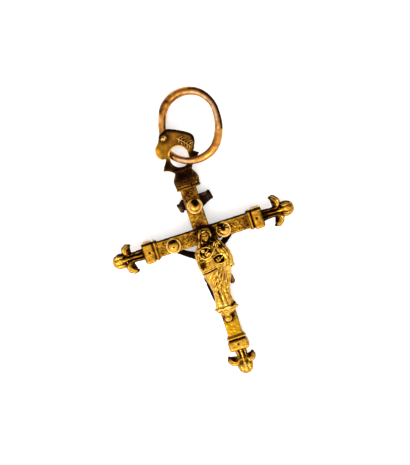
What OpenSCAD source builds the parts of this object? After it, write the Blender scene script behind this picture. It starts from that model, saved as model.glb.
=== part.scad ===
/* [Bars] */
// Width of the crossbar
crossbar_w = 3.2; // [2.8:0.1:3.6]
// Width of the upper arm
upper_w = 3.3; // [2.8:0.1:3.6]
// Width of the lower arm
lower_w = 3.05; // [2.8:0.05:3.4]
// Thickness of the bars
bar_t = 1.9; // [1.7:0.1:2.1]
// Height of the bars' back above the surface that the pendant lies on
bar_lift = 1.9; // [1.9:0.05:2.1]
// Distance from the crossing to a side cap
side_reach = 9.4; // [9:0.1:12]
// Distance from the crossing to the top cap
upper_reach = 9.8; // [9.7:0.05:9.9]
// Distance from the crossing to the bottom cap
lower_reach = 21.1; // [20:0.1:24]
// Chamfer along the bars' edges
bar_edge = 0.25; // [0.1:0.05:0.4]

/* [End caps] */
// Width of the collar block on a side cap
block_w = 4.5; // [4:0.1:5]
// Thickness of a collar block
block_t = 3.4; // [2.9:0.1:3.6]
// Length of a collar block
block_l = 2.1; // [1.6:0.1:2.6]
// Length of the moulded band before a block
band_l = 1.05; // [0.9:0.05:1.3]
// Length of a side cap's ribbed stem
side_stem = 3.4; // [3:0.1:4]
// Length of the bottom cap's ribbed stem
bottom_stem = 2.3; // [2.2:0.1:4]
// Length of a side finial's bulb
side_bulb = 3.1; // [2.6:0.1:3.6]
// Length of the bottom finial's bulb
bottom_bulb = 2.8; // [2.6:0.1:3.6]
// Width of a finial's bulb
bulb_w = 3.2; // [2.6:0.1:3.6]
// Radius of the pins through the caps
pin_r = 0.25; // [0.2:0.05:0.3]

/* [Hanging eye] */
// Width of the top cap
top_cap_w = 5.1; // [4.6:0.1:5.4]
// Width of the neck under the eye
neck_w = 3.7; // [3.3:0.1:3.9]
// Radius of the eye's round ends
eye_r = 1.9; // [1.85:0.05:2]
// Thickness of the eye plate
eye_t = 0.85; // [0.7:0.05:0.85]
// Forward lean of the eye plate in degrees
eye_lean = 22; // [21:0.5:25]

/* [Jump ring] */
// Thickness of the jump ring's wire
ring_wire = 1.5; // [1.3:0.1:1.5]
// Lean of the jump ring as it lies, in degrees
ring_lean = 27.5; // [27:0.25:28]

/* [Rivets] */
// Radius of the three domed rivets
boss_r = 1.6; // [1.3:0.05:1.65]
// Height of a domed rivet
boss_h = 1.1; // [0.8:0.05:1.3]
// Radius of the rivets' shanks
shank_r = 0.42; // [0.35:0.01:0.45]

/* [Figures] */
// Relief of the front figure above the bars
front_relief = 2.4; // [2.2:0.05:2.6]
// Depth of the robe's folds as a share of its relief
fold_depth = 0.14; // [0.05:0.01:0.2]
// Gap between neighbouring pieces
gap = 0.05; // [0.03:0.01:0.06]

/* [Hidden] */

// Heights of the bars' faces and of their middle, above the surface
back_z = bar_lift;
front_z = bar_lift + bar_t;
mid_z = bar_lift + bar_t / 2;
// How far a bar's end reaches into its cap
tenon = 2.2;
cap_l = band_l + block_l;
bottom_tip = lower_reach + cap_l + bottom_stem + bottom_bulb;

// The jump ring's bends: the radius of its centre line seen from the front, every 30 degrees from +X
RING_BENDS = [6.2, 6.8, 7.1, 6.7, 6.05, 5.3, 5.3, 6.55, 6.8, 6.85, 6.7, 6.25];
// The wire's thickness at the same places, as shares of that in the eye
RING_SWELL = [1.06, 0.95, 1.15, 1.2, 1.16, 1.05, 1, 1, 0.99, 1.06, 1.16, 1.16];
bend_step = 30;
ring_centre = [3.8, 21.7];
// Direction in which the leaning ring rises
ring_rise_dir = 330;
ring_steps = 48;
ring_sides = 10;

// Curve through four neighbouring values, at t from the second to the third
function through(a, b, c, d, t) = b + t * (c - a) / 2
    + t * t * (a - 2.5 * b + 2 * c - d / 2) + t * t * t * (1.5 * (b - c) + (d - a) / 2);
function place(list, i) = list[(i + len(list)) % len(list)];
function round_ring(list, a) = let(s = a / bend_step, i = floor(s))
    through(place(list, i - 1), place(list, i), place(list, i + 1), place(list, i + 2), s - i);
function ring_radius(a) = round_ring(RING_BENDS, a);
function wire_r(a) = ring_wire / 2 * round_ring(RING_SWELL, a);
function ring_rise(a) = tan(ring_lean) * ring_radius(a) * cos(a - ring_rise_dir);
ring_angles = [for (i = [0:ring_steps - 1]) 360 * i / ring_steps];
// The ring's lowest point touches the surface
ring_z = max([for (a = ring_angles) wire_r(a) - ring_rise(a)]);
function ring_point(a) = [
    ring_centre[0] + ring_radius(a) * cos(a),
    ring_centre[1] + ring_radius(a) * sin(a),
    ring_z + ring_rise(a)
];
// The wire's section is square to its run and to the ring's own plane
function unit(v) = v / norm(v);
ring_up = unit([
    -tan(ring_lean) * cos(ring_rise_dir), -tan(ring_lean) * sin(ring_rise_dir), 1
]);
function ring_out(a) = unit(cross(ring_point(a + 2) - ring_point(a - 2), ring_up));
RING_WIRE = [
    for (a = ring_angles, k = [0:ring_sides - 1])
        let(s = 360 * k / ring_sides)
            ring_point(a) + wire_r(a) * (cos(s) * ring_out(a) + sin(s) * ring_up)
];
ring_top = max([for (p = RING_WIRE) p[1]]);
// The origin is midway between the bottom finial's tip and the jump ring's top
middle_y = (ring_top - bottom_tip) / 2;

// Places of the rivets, the post and the pins on the cross
left_boss_at = [-6.3, -0.2];
right_boss_at = [4.2, -0.1];
top_boss_at = [0.2, 6.1];
foot_at = [-0.3, -17.3];
post_at = [0.3, -7];
pin_x = band_l + 0.8;
PIN_PLACES = [
    [-side_reach - pin_x, 0], [side_reach + pin_x, 0], [0, -lower_reach - pin_x]
];
post_r = 0.6;
post_depth = 0.8;
bore_r = shank_r + gap;
// Rivet heads: the small ones on the back, and the foot rivet's dome
nail_r = 0.75;
nail_h = 0.42;
foot_dome_r = 0.6;

// Puts the middle of the pendant over the origin
module centred() {
    translate([0, -middle_y, 0]) children();
}

// A rectangle with chamfered corners, centred
module chamfered(w, h, c) {
    x = w / 2;
    y = h / 2;
    polygon([
        [x - c, -y], [x, c - y], [x, y - c], [x - c, y],
        [c - x, y], [-x, y - c], [-x, c - y], [c - x, -y]
    ]);
}

// A chamfered bar along +X at the bars' middle height
module bar(from, to, w, h, c) {
    translate([from, 0, mid_z])
        rotate([90, 0, 90])
            linear_extrude(to - from) chamfered(w, h, c);
}

module bore(at, r) {
    translate([at[0], at[1], -1]) cylinder(h = 12, r = r, $fn = 48);
}

module cross_body() {
    color("#C9921C")
        centred()
            difference() {
                union() {
                    bar(-side_reach - tenon, side_reach + tenon, crossbar_w, bar_t, bar_edge);
                    rotate([0, 0, 90]) bar(0, upper_reach + tenon, upper_w, bar_t, bar_edge);
                    rotate([0, 0, -90]) bar(0, lower_reach + tenon, lower_w, bar_t, bar_edge);
                }
                for (at = [left_boss_at, right_boss_at, top_boss_at, foot_at]) bore(at, bore_r);
                bore(post_at, post_r + gap);
                for (at = PIN_PLACES) bore(at, pin_r + gap);
            }
}

// The socket in a cap that takes a bar's end
module socket(from, w) {
    bar(from - 1, from + tenon + gap, w + 2 * gap, bar_t + 2 * gap, bar_edge);
}

// End caps, each drawn along +X with its mouth at x = 0
// Mouldings: start, end, width and thickness next to the block's, chamfer
MOULD = [
    [0, 0.42, -0.5, -0.7, 0.12],
    [0.42, 0.62, -0.75, -0.95, 0.1],
    [0.62, band_l, -0.4, -0.6, 0.12],
    [band_l, cap_l, 0, 0, 0.5]
];
// Curled petals, one row each: across to the root, to the outer bend and to the tip,
// then how far past the stem's end the outer bend and the tip lie
LEFT_PETALS = [[-0.85, -2.0, -2.55, 0.1, -1.1], [0.9, 2.2, 2.75, -0.1, -1.4]];
RIGHT_PETALS = [[0.85, 2.1, 3.0, 0.1, -1.1], [-0.8, -1.9, -2.6, -0.1, -1.4]];
BOTTOM_PETALS = [[0.8, 1.75, 2.15, 0.0, -1.2], [-0.85, -2.1, -2.7, 0.0, -1.3]];
petal_r = 0.65;
petal_tip_r = 0.4;
rib_r = 0.5;
rib_apart = 0.72;

module ball(at, r, n) {
    translate(at) sphere(r = r, $fn = n);
}

module petal(row, stem_end) {
    root = [stem_end - 0.15, row[0], mid_z];
    outer = [stem_end + row[3], row[1], mid_z + 0.1];
    tip = [stem_end + row[4], row[2], mid_z + 0.35];
    hull() {
        ball(root, petal_r, 14);
        ball(outer, petal_r, 14);
    }
    hull() {
        ball(outer, petal_r, 14);
        ball(tip, petal_tip_r, 14);
    }
}

module end_cap(w, stem_l, bulb_l, petals) {
    stem_end = cap_l + stem_l;
    tip = stem_end + bulb_l;
    head_r = bulb_w / 2 - 0.35;
    difference() {
        union() {
            for (m = MOULD) bar(m[0], m[1], w + m[2], block_t + m[3], m[4]);
            // Three ribs make the stem, the middle one a little higher
            for (side = [-1, 0, 1])
                translate([cap_l - 0.3, side * rib_apart, mid_z + (side == 0 ? 0.2 : 0)])
                    rotate([0, 90, 0]) cylinder(h = stem_l + 0.5, r = rib_r, $fn = 32);
            // The bulb is a flattened pear with a rib down its middle
            hull() {
                for (side = [-1, 1]) ball([tip - head_r, side * 0.35, mid_z], head_r, 20);
                ball([stem_end + 0.1, 0, mid_z], 0.8, 16);
            }
            hull() {
                ball([tip - 1, 0, mid_z + 0.85], 0.5, 12);
                ball([stem_end, 0, mid_z + 0.5], 0.4, 12);
            }
            for (row = petals) petal(row, stem_end);
        }
        socket(0, crossbar_w + 0.1);
        bore([pin_x, 0], pin_r + gap);
    }
}

module end_cap_left() {
    color("#D19A22")
        centred()
            rotate([0, 0, 180])
                translate([side_reach, 0, 0]) end_cap(block_w, side_stem, side_bulb, LEFT_PETALS);
}

module end_cap_right() {
    color("#D19A22")
        centred() translate([side_reach, 0, 0]) end_cap(block_w, side_stem, side_bulb, RIGHT_PETALS);
}

module end_cap_bottom() {
    color("#D19A22")
        centred()
            rotate([0, 0, -90])
                translate([lower_reach, 0, 0])
                    end_cap(block_w - 0.3, bottom_stem, bottom_bulb, BOTTOM_PETALS);
}

module pin(at) {
    half = block_t / 2 - 0.02;
    color("#7A5516")
        centred()
            translate([at[0], at[1], mid_z - half]) cylinder(h = 2 * half, r = pin_r, $fn = 32);
}

module pin_left() {
    pin(PIN_PLACES[0]);
}

module pin_right() {
    pin(PIN_PLACES[1]);
}

module pin_bottom() {
    pin(PIN_PLACES[2]);
}

// The top cap's middle lies a little to the right of the upright's
top_x = 0.2;
// Plan of the neck, the side tips and the upper lobe, clockwise from the left of the neck
EYE_PLAN = [
    [top_x - neck_w / 2, 12.4], [top_x - neck_w / 2, 13.7], [-3.7, 14.5], [-2.9, 15.7],
    [-2.35, 16.6], [-3.1, 16.9], [-3.75, 17.6], [-4.0, 18.6], [-3.7, 19.5], [-2.9, 20.3],
    [-2.4, 21.2], [-1.6, 22.0], [-0.4, 22.5], [1.4, 21.8], [3.0, 20.9], [4.0, 20.1],
    [4.3, 19.4], [4.15, 18.4], [3.7, 17.5], [3.4, 16.9], [4.4, 16.0], [2.8, 14.6],
    [top_x + neck_w / 2, 13.7], [top_x + neck_w / 2, 12.4]
];
eye_at = [0.3, 16.4];
// The eye is a little higher than it is wide
eye_stretch = 0.27;
// The plate starts to lean here
lean_y = 14.9;
neck_t = 1.5;
plate_low = mid_z - 0.38;
bead_at = [-1.5, 21.1];
bead_r = 0.75;

module eye_hole() {
    for (side = [-1, 1])
        translate([eye_at[0], eye_at[1] + side * eye_stretch]) circle(r = eye_r, $fn = 64);
    translate(eye_at) square([2 * eye_r, 2 * eye_stretch], center = true);
}

// Side view of the plate: straight along the neck, then leaning forward
module plate_side() {
    far = 24;
    rise = (far - lean_y) * tan(eye_lean);
    plate = eye_t / cos(eye_lean);
    polygon([
        [12.2, mid_z - neck_t / 2], [13.6, mid_z - neck_t / 2], [lean_y, plate_low],
        [far, plate_low + rise], [far, plate_low + rise + plate], [lean_y, plate_low + plate],
        [13.6, mid_z + neck_t / 2], [12.2, mid_z + neck_t / 2]
    ]);
}

// Top cap mouldings: start, end, width next to the cap's, thickness next to a block's, chamfer
TOP_MOULD = [
    [0, 0.45, -0.1, -0.1, 0.15],
    [0.45, 0.65, -0.35, -0.3, 0.1],
    [0.65, 1.0, -0.1, -0.1, 0.15],
    [1.0, 2.2, 0, 0.1, 0.45],
    [2.2, 2.75, -0.55, -0.3, 0.4],
    [2.75, 3.2, -1.15, -0.9, 0.3]
];

module hanging_eye() {
    color("#8A6A14")
        centred() {
            difference() {
                translate([top_x, upper_reach, 0])
                    rotate([0, 0, 90])
                        for (m = TOP_MOULD)
                            bar(m[0], m[1], top_cap_w + m[2], block_t + m[3], m[4]);
                rotate([0, 0, 90]) socket(upper_reach, upper_w + 0.1);
            }
            intersection() {
                linear_extrude(12)
                    difference() {
                        polygon(EYE_PLAN);
                        eye_hole();
                    }
                translate([-10, 0, 0]) rotate([90, 0, 90]) linear_extrude(20) plate_side();
            }
            ball([bead_at[0], bead_at[1], plate_low + (bead_at[1] - lean_y) * tan(eye_lean) + eye_t],
                bead_r, 32);
        }
}

module jump_ring() {
    skin = [
        for (i = [0:ring_steps - 1], k = [0:ring_sides - 1])
            let(j = (i + 1) % ring_steps, m = (k + 1) % ring_sides)
                [i * ring_sides + k, i * ring_sides + m, j * ring_sides + m, j * ring_sides + k]
    ];
    color("#D8924A") centred() polyhedron(points = RING_WIRE, faces = skin, convexity = 4);
}

// Half the outline of a domed head that stands on y = seat, for turning about the Y axis
module dome_half(r, h, seat) {
    cap_r = (r * r + h * h) / (2 * h);
    intersection() {
        translate([0, seat + h - cap_r]) circle(r = cap_r, $fn = 96);
        translate([0, seat]) square([r, h + 0.1]);
    }
}

// A rivet: dome on the front, shank through the bar, small nail head on the back
module rivet(at, dome_r, dome_h, seat, nail_bottom) {
    color("#DCA93C")
        centred()
            translate([at[0], at[1], 0])
                rotate_extrude($fn = 64) {
                    dome_half(dome_r, dome_h, seat);
                    translate([0, nail_bottom + nail_h / 2])
                        square([shank_r, seat - nail_bottom]);
                    translate([0, nail_bottom + nail_h])
                        mirror([0, 1]) dome_half(nail_r, nail_h, 0);
                }
}

module boss_left() {
    rivet(left_boss_at, boss_r, boss_h, front_z + gap, 0);
}

module boss_right() {
    rivet(right_boss_at, boss_r, boss_h, front_z + gap, 0);
}

module boss_top() {
    rivet(top_boss_at, boss_r, boss_h, front_z + gap, scroll_z - gap - nail_h);
}

module foot_rivet() {
    rivet(foot_at, foot_dome_r, 0.4, front_z + tab_t + 2 * gap, 0);
}

module madonna_post() {
    color("#C9921C")
        centred()
            translate([post_at[0], post_at[1], back_z])
                cylinder(h = bar_t + post_depth, r = post_r, $fn = 64);
}

// A chain of hulls through balls, each [x, y, z, radius], lifted by a height
module chain(balls, n, lift) {
    for (i = [0:len(balls) - 2])
        hull()
            for (b = [balls[i], balls[i + 1]]) ball([b[0], b[1], b[2] + lift], b[3], n);
}

// Keeps what lies between two heights
module between(low, high) {
    intersection() {
        children();
        translate([-20, -40, low]) cube([40, 80, high - low]);
    }
}

// The robe's sections from the shoulders to the hem: y, left edge, right edge, share of the relief
ROBE = [
    [-2.2, -1.2, 2.3, 0.40],
    [-3.2, -2.5, 3.6, 0.56],
    [-4.6, -2.9, 4.3, 0.64],
    [-6.2, -3.0, 4.5, 0.70],
    [-7.4, -2.7, 4.2, 0.72],
    [-8.0, -2.45, 3.4, 0.72],
    [-9.8, -2.0, 2.6, 0.70],
    [-11.4, -1.7, 1.9, 0.66],
    [-12.8, -1.8, 1.6, 0.62],
    [-14.0, -2.1, 1.8, 0.60],
    [-15.2, -2.3, 2.3, 0.60]
];
robe_sides = 18;
// How many folds lie across the robe, and how many degrees each millimetre down slants them
fold_count = 5;
fold_slant = 26;
figure_z = front_z + gap;

function robe_point(row, a) = let(
        half = (row[2] - row[1]) / 2,
        crest = pow(sin(a), 0.7) * (1 + fold_depth * cos(fold_count * a + fold_slant * row[0]))
    ) [(row[1] + row[2]) / 2 + half * cos(a), row[0], figure_z + front_relief * row[3] * crest];

module robe() {
    last = len(ROBE) - 1;
    n = robe_sides + 1;
    points = [for (row = ROBE, k = [0:robe_sides]) robe_point(row, 180 * k / robe_sides)];
    skin = [
        for (i = [0:last - 1], k = [0:robe_sides - 1])
            [(i + 1) * n + k, (i + 1) * n + k + 1, i * n + k + 1, i * n + k]
    ];
    back = [
        for (i = [0:last - 1])
            [i * n + robe_sides, (i + 1) * n + robe_sides, (i + 1) * n, i * n]
    ];
    shoulders = [[for (k = [0:robe_sides]) k]];
    hem = [[for (k = [robe_sides:-1:0]) last * n + k]];
    polyhedron(points = points, faces = concat(skin, back, shoulders, hem), convexity = 6);
}

// Forms of the front figure as chains of balls: x, y, height above the bars, radius
FRONT_HEAD = [[0.3, -0.3, 1.35, 1.05], [0.3, 0.1, 1.3, 0.95]];
CROWN = [for (a = [20:40:160]) [0.4 + 1.15 * cos(a), 0.3 + 1.15 * sin(a), 1.1, 0.4]];
VEIL_RIGHT = [[1.5, 0.2, 0.7, 0.6], [2.1, -1.2, 0.7, 0.7], [2.6, -2.8, 0.7, 0.75], [3.6, -4.4, 0.5, 0.8]];
VEIL_LEFT = [[-0.8, 0.2, 0.7, 0.55], [-1.2, -1.2, 0.6, 0.6], [-1.6, -2.6, 0.6, 0.75]];
NECK_AND_CHEST = [[0.3, -1.6, 0.9, 0.6], [0.5, -3.0, 0.9, 1.2]];
LEFT_SLEEVE = [[-1.6, -2.9, 0.9, 0.8], [-2.2, -5.2, 1.0, 0.75], [0.2, -5.3, 1.3, 0.6]];
RIGHT_SLEEVE = [
    [2.4, -3.2, 0.8, 0.8], [3.6, -5.6, 1.0, 0.75], [1.6, -4.7, 1.5, 0.5], [2.1, -2.9, 1.75, 0.45]
];
CHILD_HEAD = [[-0.7, -2.6, 1.95, 0.62], [-0.6, -2.5, 1.9, 0.6]];
CHILD_BODY = [[-0.9, -3.9, 1.7, 0.85], [0.4, -4.5, 1.75, 0.5], [1.0, -5.2, 1.6, 0.35]];
MANTLE_EDGE = [[-2.5, -7.1, 0.9, 0.4], [0.6, -6.7, 1.5, 0.45], [3.4, -6.6, 1.2, 0.5], [4.0, -7.2, 0.6, 0.4]];
LEFT_FOOT = [[-0.9, -14.9, 0.9, 0.5], [-0.9, -15.3, 0.6, 0.4]];
RIGHT_FOOT = [[0.7, -14.9, 0.9, 0.5], [0.7, -15.3, 0.6, 0.4]];

tab_t = 0.5;

// The console: a step that narrows to a tab under the foot rivet
module console() {
    translate([0, 0, figure_z]) {
        hull() {
            translate([-2.2, -15.5, 0]) cube([4.4, 0.5, 1.6]);
            translate([-1.5, -16.3, 0]) cube([2.7, 0.4, 1.2]);
        }
        hull() {
            translate([-1.45, -16.3, 0]) cube([2.6, 0.4, 1]);
            translate([foot_at[0], foot_at[1], 0]) cylinder(h = tab_t, r = 0.75, $fn = 24);
        }
    }
}

module madonna() {
    color("#E0AE48")
        centred()
            difference() {
                between(figure_z, 12)
                    union() {
                        robe();
                        console();
                        for (form = [FRONT_HEAD, NECK_AND_CHEST, CHILD_HEAD]) chain(form, 16, front_z);
                        for (form = [VEIL_RIGHT, VEIL_LEFT, LEFT_SLEEVE, RIGHT_SLEEVE, CHILD_BODY])
                            chain(form, 14, front_z);
                        for (form = [CROWN, MANTLE_EDGE, LEFT_FOOT, RIGHT_FOOT]) chain(form, 12, front_z);
                    }
                bore(foot_at, bore_r);
                translate([foot_at[0], foot_at[1], figure_z + tab_t])
                    cylinder(h = 3, r = foot_dome_r + gap, $fn = 24);
                translate([post_at[0], post_at[1], 0])
                    cylinder(h = front_z + post_depth + gap, r = post_r + gap, $fn = 24);
            }
}

// Forms of the back figure as chains of balls: x, y, height above the surface, radius
BACK_SHOULDERS = [[-2.3, -4.1, 1.3, 0.85], [1.3, -4.1, 1.3, 0.85]];
BACK_LEFT_ARM = [[-6.5, -0.9, 1.42, 0.78], [-4.7, -2.45, 1.4, 0.62], BACK_SHOULDERS[0]];
BACK_RIGHT_ARM = [
    [4.3, -0.5, 1.42, 0.72], [5.3, -1.1, 1.42, 0.78], [3.7, -2.5, 1.4, 0.62], BACK_SHOULDERS[1]
];
BACK_HEAD = [[-0.8, -2.2, 1.15, 0.98], [-0.7, -1.8, 1.2, 0.9]];
BACK_HAIR = [[-1.5, -1.6, 1.3, 0.5], [-1.9, -2.6, 1.4, 0.5], [-1.6, -3.3, 1.4, 0.5]];
BACK_NECK = [[-0.7, -2.9, 1.4, 0.5], [-0.5, -3.8, 1.3, 0.7]];
WAIST = [-0.5, -6.5, 1.15, 0.95];
HIPS = [[-1.2, -9.2, 1.1, 0.95], [0.3, -9.2, 1.1, 0.95]];
LOINCLOTH = [
    [-1.7, -8.9, 1.1, 0.95], [-0.5, -9.3, 0.98, 0.95], [0.9, -9.6, 1.1, 0.9],
    [2.5, -9.7, 1.35, 0.65], [2.7, -10.7, 1.4, 0.6]
];
BACK_LEFT_LEG = [
    [-1.6, -10.0, 1.1, 0.95], [-1.4, -13.0, 0.95, 0.82], [-0.8, -16.3, 1.35, 0.5], [-0.4, -17.5, 1.25, 0.58]
];
BACK_RIGHT_LEG = [
    [0.5, -10.2, 1.1, 0.9], [0.3, -13.2, 1.0, 0.82], [-0.2, -16.3, 1.35, 0.5], [-0.2, -17.6, 1.25, 0.58]
];

module torso(balls) {
    hull()
        for (b = balls) ball([b[0], b[1], b[2]], b[3], 18);
}

module corpus() {
    color("#5C3A12")
        centred()
            difference() {
                between(0, back_z - gap)
                    union() {
                        torso(concat(BACK_SHOULDERS, [WAIST]));
                        torso(concat(HIPS, [WAIST]));
                        chain(BACK_HEAD, 18, 0);
                        for (form = [BACK_LEFT_ARM, BACK_RIGHT_ARM, BACK_NECK]) chain(form, 14, 0);
                        for (form = [LOINCLOTH, BACK_LEFT_LEG, BACK_RIGHT_LEG]) chain(form, 14, 0);
                        chain(BACK_HAIR, 12, 0);
                    }
                for (at = [left_boss_at, right_boss_at, foot_at]) {
                    bore(at, bore_r);
                    translate([at[0], at[1], -1]) cylinder(h = 1 + nail_h + gap, r = nail_r + gap, $fn = 20);
                }
            }
}

// Title scroll: a flat strip with waved edges, whose ends roll back
scroll_z = 1;
roll_r = 0.42;
SCROLL_PLAN = [
    [-2.9, 5.4], [-2.6, 5.9], [-1.9, 5.7], [-0.5, 5.2], [1.5, 5.2], [2.8, 5.9], [3.7, 6.3],
    [4.1, 7.4], [3.9, 8.2], [3.0, 8.1], [1.6, 8.1], [0.2, 7.7], [-1.2, 7.7], [-2.0, 8.0],
    [-2.7, 7.4], [-3.1, 6.3]
];
// The rolled ends: x, y, length, turn in degrees
SCROLL_ROLLS = [[-2.75, 6.35, 1.6, 22], [3.75, 7.3, 1.6, 14]];

module title_scroll() {
    color("#5C3A12")
        centred()
            difference() {
                union() {
                    translate([0, 0, scroll_z])
                        linear_extrude(back_z - gap - scroll_z) polygon(SCROLL_PLAN);
                    for (roll = SCROLL_ROLLS)
                        translate([roll[0], roll[1], scroll_z + 0.2])
                            rotate([90, 0, roll[3]])
                                cylinder(h = roll[2], r = roll_r, center = true, $fn = 32);
                }
                bore(top_boss_at, bore_r);
            }
}

cross_body();
end_cap_left();
end_cap_right();
end_cap_bottom();
pin_left();
pin_right();
pin_bottom();
hanging_eye();
jump_ring();
boss_left();
boss_right();
boss_top();
foot_rivet();
madonna();
madonna_post();
corpus();
title_scroll();
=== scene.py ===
import math

import bmesh
import bpy
import numpy as np
from mathutils import Euler, Matrix, Vector, noise


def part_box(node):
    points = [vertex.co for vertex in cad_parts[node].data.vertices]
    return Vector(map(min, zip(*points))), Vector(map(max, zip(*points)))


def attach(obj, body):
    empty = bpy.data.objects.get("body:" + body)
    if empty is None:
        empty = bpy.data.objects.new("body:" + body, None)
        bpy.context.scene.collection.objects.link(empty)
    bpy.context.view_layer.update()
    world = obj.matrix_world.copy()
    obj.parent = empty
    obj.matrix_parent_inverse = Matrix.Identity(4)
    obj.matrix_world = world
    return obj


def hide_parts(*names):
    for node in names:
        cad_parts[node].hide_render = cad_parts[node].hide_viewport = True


bl_info = {
    "name": "Cross pendant",
    "version": (1, 0, 0),
    "blender": (4, 5, 0),
    "location": "View3D > Sidebar > Pendant",
    "description": "Models a cast gold cross pendant with its rivets, figures, hanging eye and jump ring",
    "category": "Add Mesh",
}

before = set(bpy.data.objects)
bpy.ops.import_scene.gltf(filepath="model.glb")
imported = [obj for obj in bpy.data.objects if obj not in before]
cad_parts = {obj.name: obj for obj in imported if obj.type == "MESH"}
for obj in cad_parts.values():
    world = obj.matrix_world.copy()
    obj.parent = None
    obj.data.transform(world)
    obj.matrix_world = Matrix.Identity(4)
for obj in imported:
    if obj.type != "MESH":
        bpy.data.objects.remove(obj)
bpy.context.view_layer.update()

# All forms are modelled in millimetres from the middle of the crossing, then brought into the frame
MM = 0.001


def box_mm(cad_node):
    """Lowest and highest corner of a node, in the frame's millimetres."""
    low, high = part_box(cad_node)
    return low / MM, high / MM


# Where the frame puts the crossing and the bars' faces
CROSS_LOW, CROSS_HIGH = box_mm("cross_body")
PIN_LOW, PIN_HIGH = box_mm("pin_left")
CROSS_Y = (PIN_LOW.y + PIN_HIGH.y) / 2
BACK_Z = CROSS_LOW.z
FRONT_Z = CROSS_HIGH.z
MID_Z = (BACK_Z + FRONT_Z) / 2
# Clearance between the bars and what is fixed to them
GAP = 0.05


def middle_of(cad_node):
    """Middle of a node seen from the front, in millimetres from the crossing."""
    low, high = box_mm(cad_node)
    return (low.x + high.x) / 2, (low.y + high.y) / 2 - CROSS_Y


# The photograph: its frame in pixels, where the crossing lies in it, its scale and how the cross leans in it
PHOTO_W, PHOTO_H = 410, 465
CROSSING_PX = (203.2, 235.2)
MM_PER_PX = 0.2
CROSS_ROLL = 18.0


class PendantSizes(bpy.types.PropertyGroup):
    """Sizes in millimetres, and the camera's tilt."""
    crossbar_w: bpy.props.FloatProperty(
        name="Crossbar width", description="Width of the crossbar, in mm", default=3.2, min=2.8, max=3.6)
    upper_w: bpy.props.FloatProperty(
        name="Upper arm width", description="Width of the upper arm, in mm", default=3.3, min=2.8, max=3.6)
    lower_w: bpy.props.FloatProperty(
        name="Lower arm width", description="Width of the lower arm, in mm", default=3.05, min=2.8, max=3.4)
    engraving: bpy.props.FloatProperty(
        name="Engraving depth", description="Depth of the worn cuts in the bars, in mm", default=0.075,
        min=0, max=0.15)
    fold_height: bpy.props.FloatProperty(
        name="Fold height", description="Height of the robe's folds, in mm", default=0.2, min=0.05, max=0.4)
    skin: bpy.props.FloatProperty(
        name="Casting fineness", description="Size of the faces of a cast piece, in mm", default=0.062,
        min=0.05, max=0.2)
    wire: bpy.props.FloatProperty(
        name="Ring wire", description="Thickness of the jump ring's wire, in mm", default=1.5, min=1.2,
        max=1.6)
    camera_far: bpy.props.FloatProperty(
        name="Camera distance", description="Distance from the camera to the crossing, in mm", default=420,
        min=200, max=900)
    camera_tilt: bpy.props.FloatProperty(
        name="Camera tilt", description="Lean of the camera towards the cross's top", subtype="ANGLE",
        default=math.radians(4.5), min=0, max=math.radians(30))


class PendantColours(bpy.types.PropertyGroup):
    """Colours as sRGB hex values."""
    bright: bpy.props.StringProperty(
        name="Bright gold", description="Polished high places of the bars", default="#BF8A08")
    body: bpy.props.StringProperty(
        name="Body gold", description="Plain surface of the bars", default="#A2751A")
    brown: bpy.props.StringProperty(
        name="Brown gold", description="Dirty gold beside the recesses", default="#6C4011")
    recess: bpy.props.StringProperty(
        name="Recess", description="Dark dirt in the recesses", default="#160A04")
    pale: bpy.props.StringProperty(
        name="Pale gold", description="Rubbed folds of the front figure", default="#D4A84F")
    robe: bpy.props.StringProperty(
        name="Robe gold", description="Plain surface of the front figure", default="#C0902D")
    olive: bpy.props.StringProperty(
        name="Olive gold", description="Dull gold of the hanging eye's lobe", default="#6A460C")
    orange: bpy.props.StringProperty(
        name="Orange gold", description="Rubbed gold on the lobe's lower left", default="#AA7424")
    rose: bpy.props.StringProperty(
        name="Rose gold", description="Polished jump ring", default="#C68A40")
    # The jump ring's dull streaks are painted dark reflections
    rose_shade: bpy.props.StringProperty(
        name="Rose gold shade", description="Dull streaks of the jump ring", default="#9C6226")
    floor: bpy.props.StringProperty(
        name="Floor", description="Pale paper under the pendant", default="#F4F3F1")


def sizes():
    """The sizes set in the panel."""
    return bpy.context.scene.pendant_sizes


def colours():
    """The colours set in the panel."""
    return bpy.context.scene.pendant_colours


def linear(hex_colour):
    """The linear colour of an sRGB hex value."""
    parts = [int(hex_colour[i:i + 2], 16) / 255 for i in (1, 3, 5)]
    return [*((c / 12.92 if c <= 0.04045 else ((c + 0.055) / 1.055) ** 2.4) for c in parts), 1.0]


# Forms


def ball(bm, centre, radii, turn=(0, 0, 0)):
    """Adds an ellipsoid. Its radii are one number or three, and turn is in degrees about X, Y and Z."""
    size = Vector((radii,) * 3) if isinstance(radii, (int, float)) else Vector(radii)
    place = Matrix.LocRotScale(Vector(centre), Euler([math.radians(a) for a in turn]), size)
    bmesh.ops.create_icosphere(bm, subdivisions=3, radius=1, matrix=place)


def aimed(middle, run):
    """A placement in a middle, with its Z along a direction."""
    return Matrix.Translation(middle) @ run.to_track_quat("Z", "Y").to_matrix().to_4x4()


def limb(bm, path):
    """Adds a round-ended limb along a path with one row for each joint: x, y, z, radius."""
    for row in path:
        ball(bm, row[:3], row[3])
    for a, b in zip(path, path[1:]):
        start, end = Vector(a[:3]), Vector(b[:3])
        run = end - start
        if run.length < 1e-4:
            continue
        bmesh.ops.create_cone(bm, cap_ends=True, segments=28, radius1=a[3], radius2=b[3], depth=run.length,
                              matrix=aimed((start + end) / 2, run))


def plan(path):
    """The points of a limb's path seen from the front."""
    return [(x, y) for x, y, z, r in path]


def raised(bm, *paths):
    """Adds limbs whose heights are measured from the bars' front."""
    for path in paths:
        limb(bm, [(x, y, z + FRONT_Z, r) for x, y, z, r in path])


def rod(bm, centre, radius, height, segments, top=None):
    """Adds an upright rod, which tapers if its top has a radius of its own."""
    bmesh.ops.create_cone(
        bm, cap_ends=True, segments=segments, radius1=radius, radius2=radius if top is None else top,
        depth=height, matrix=Matrix.Translation(centre))


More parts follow.
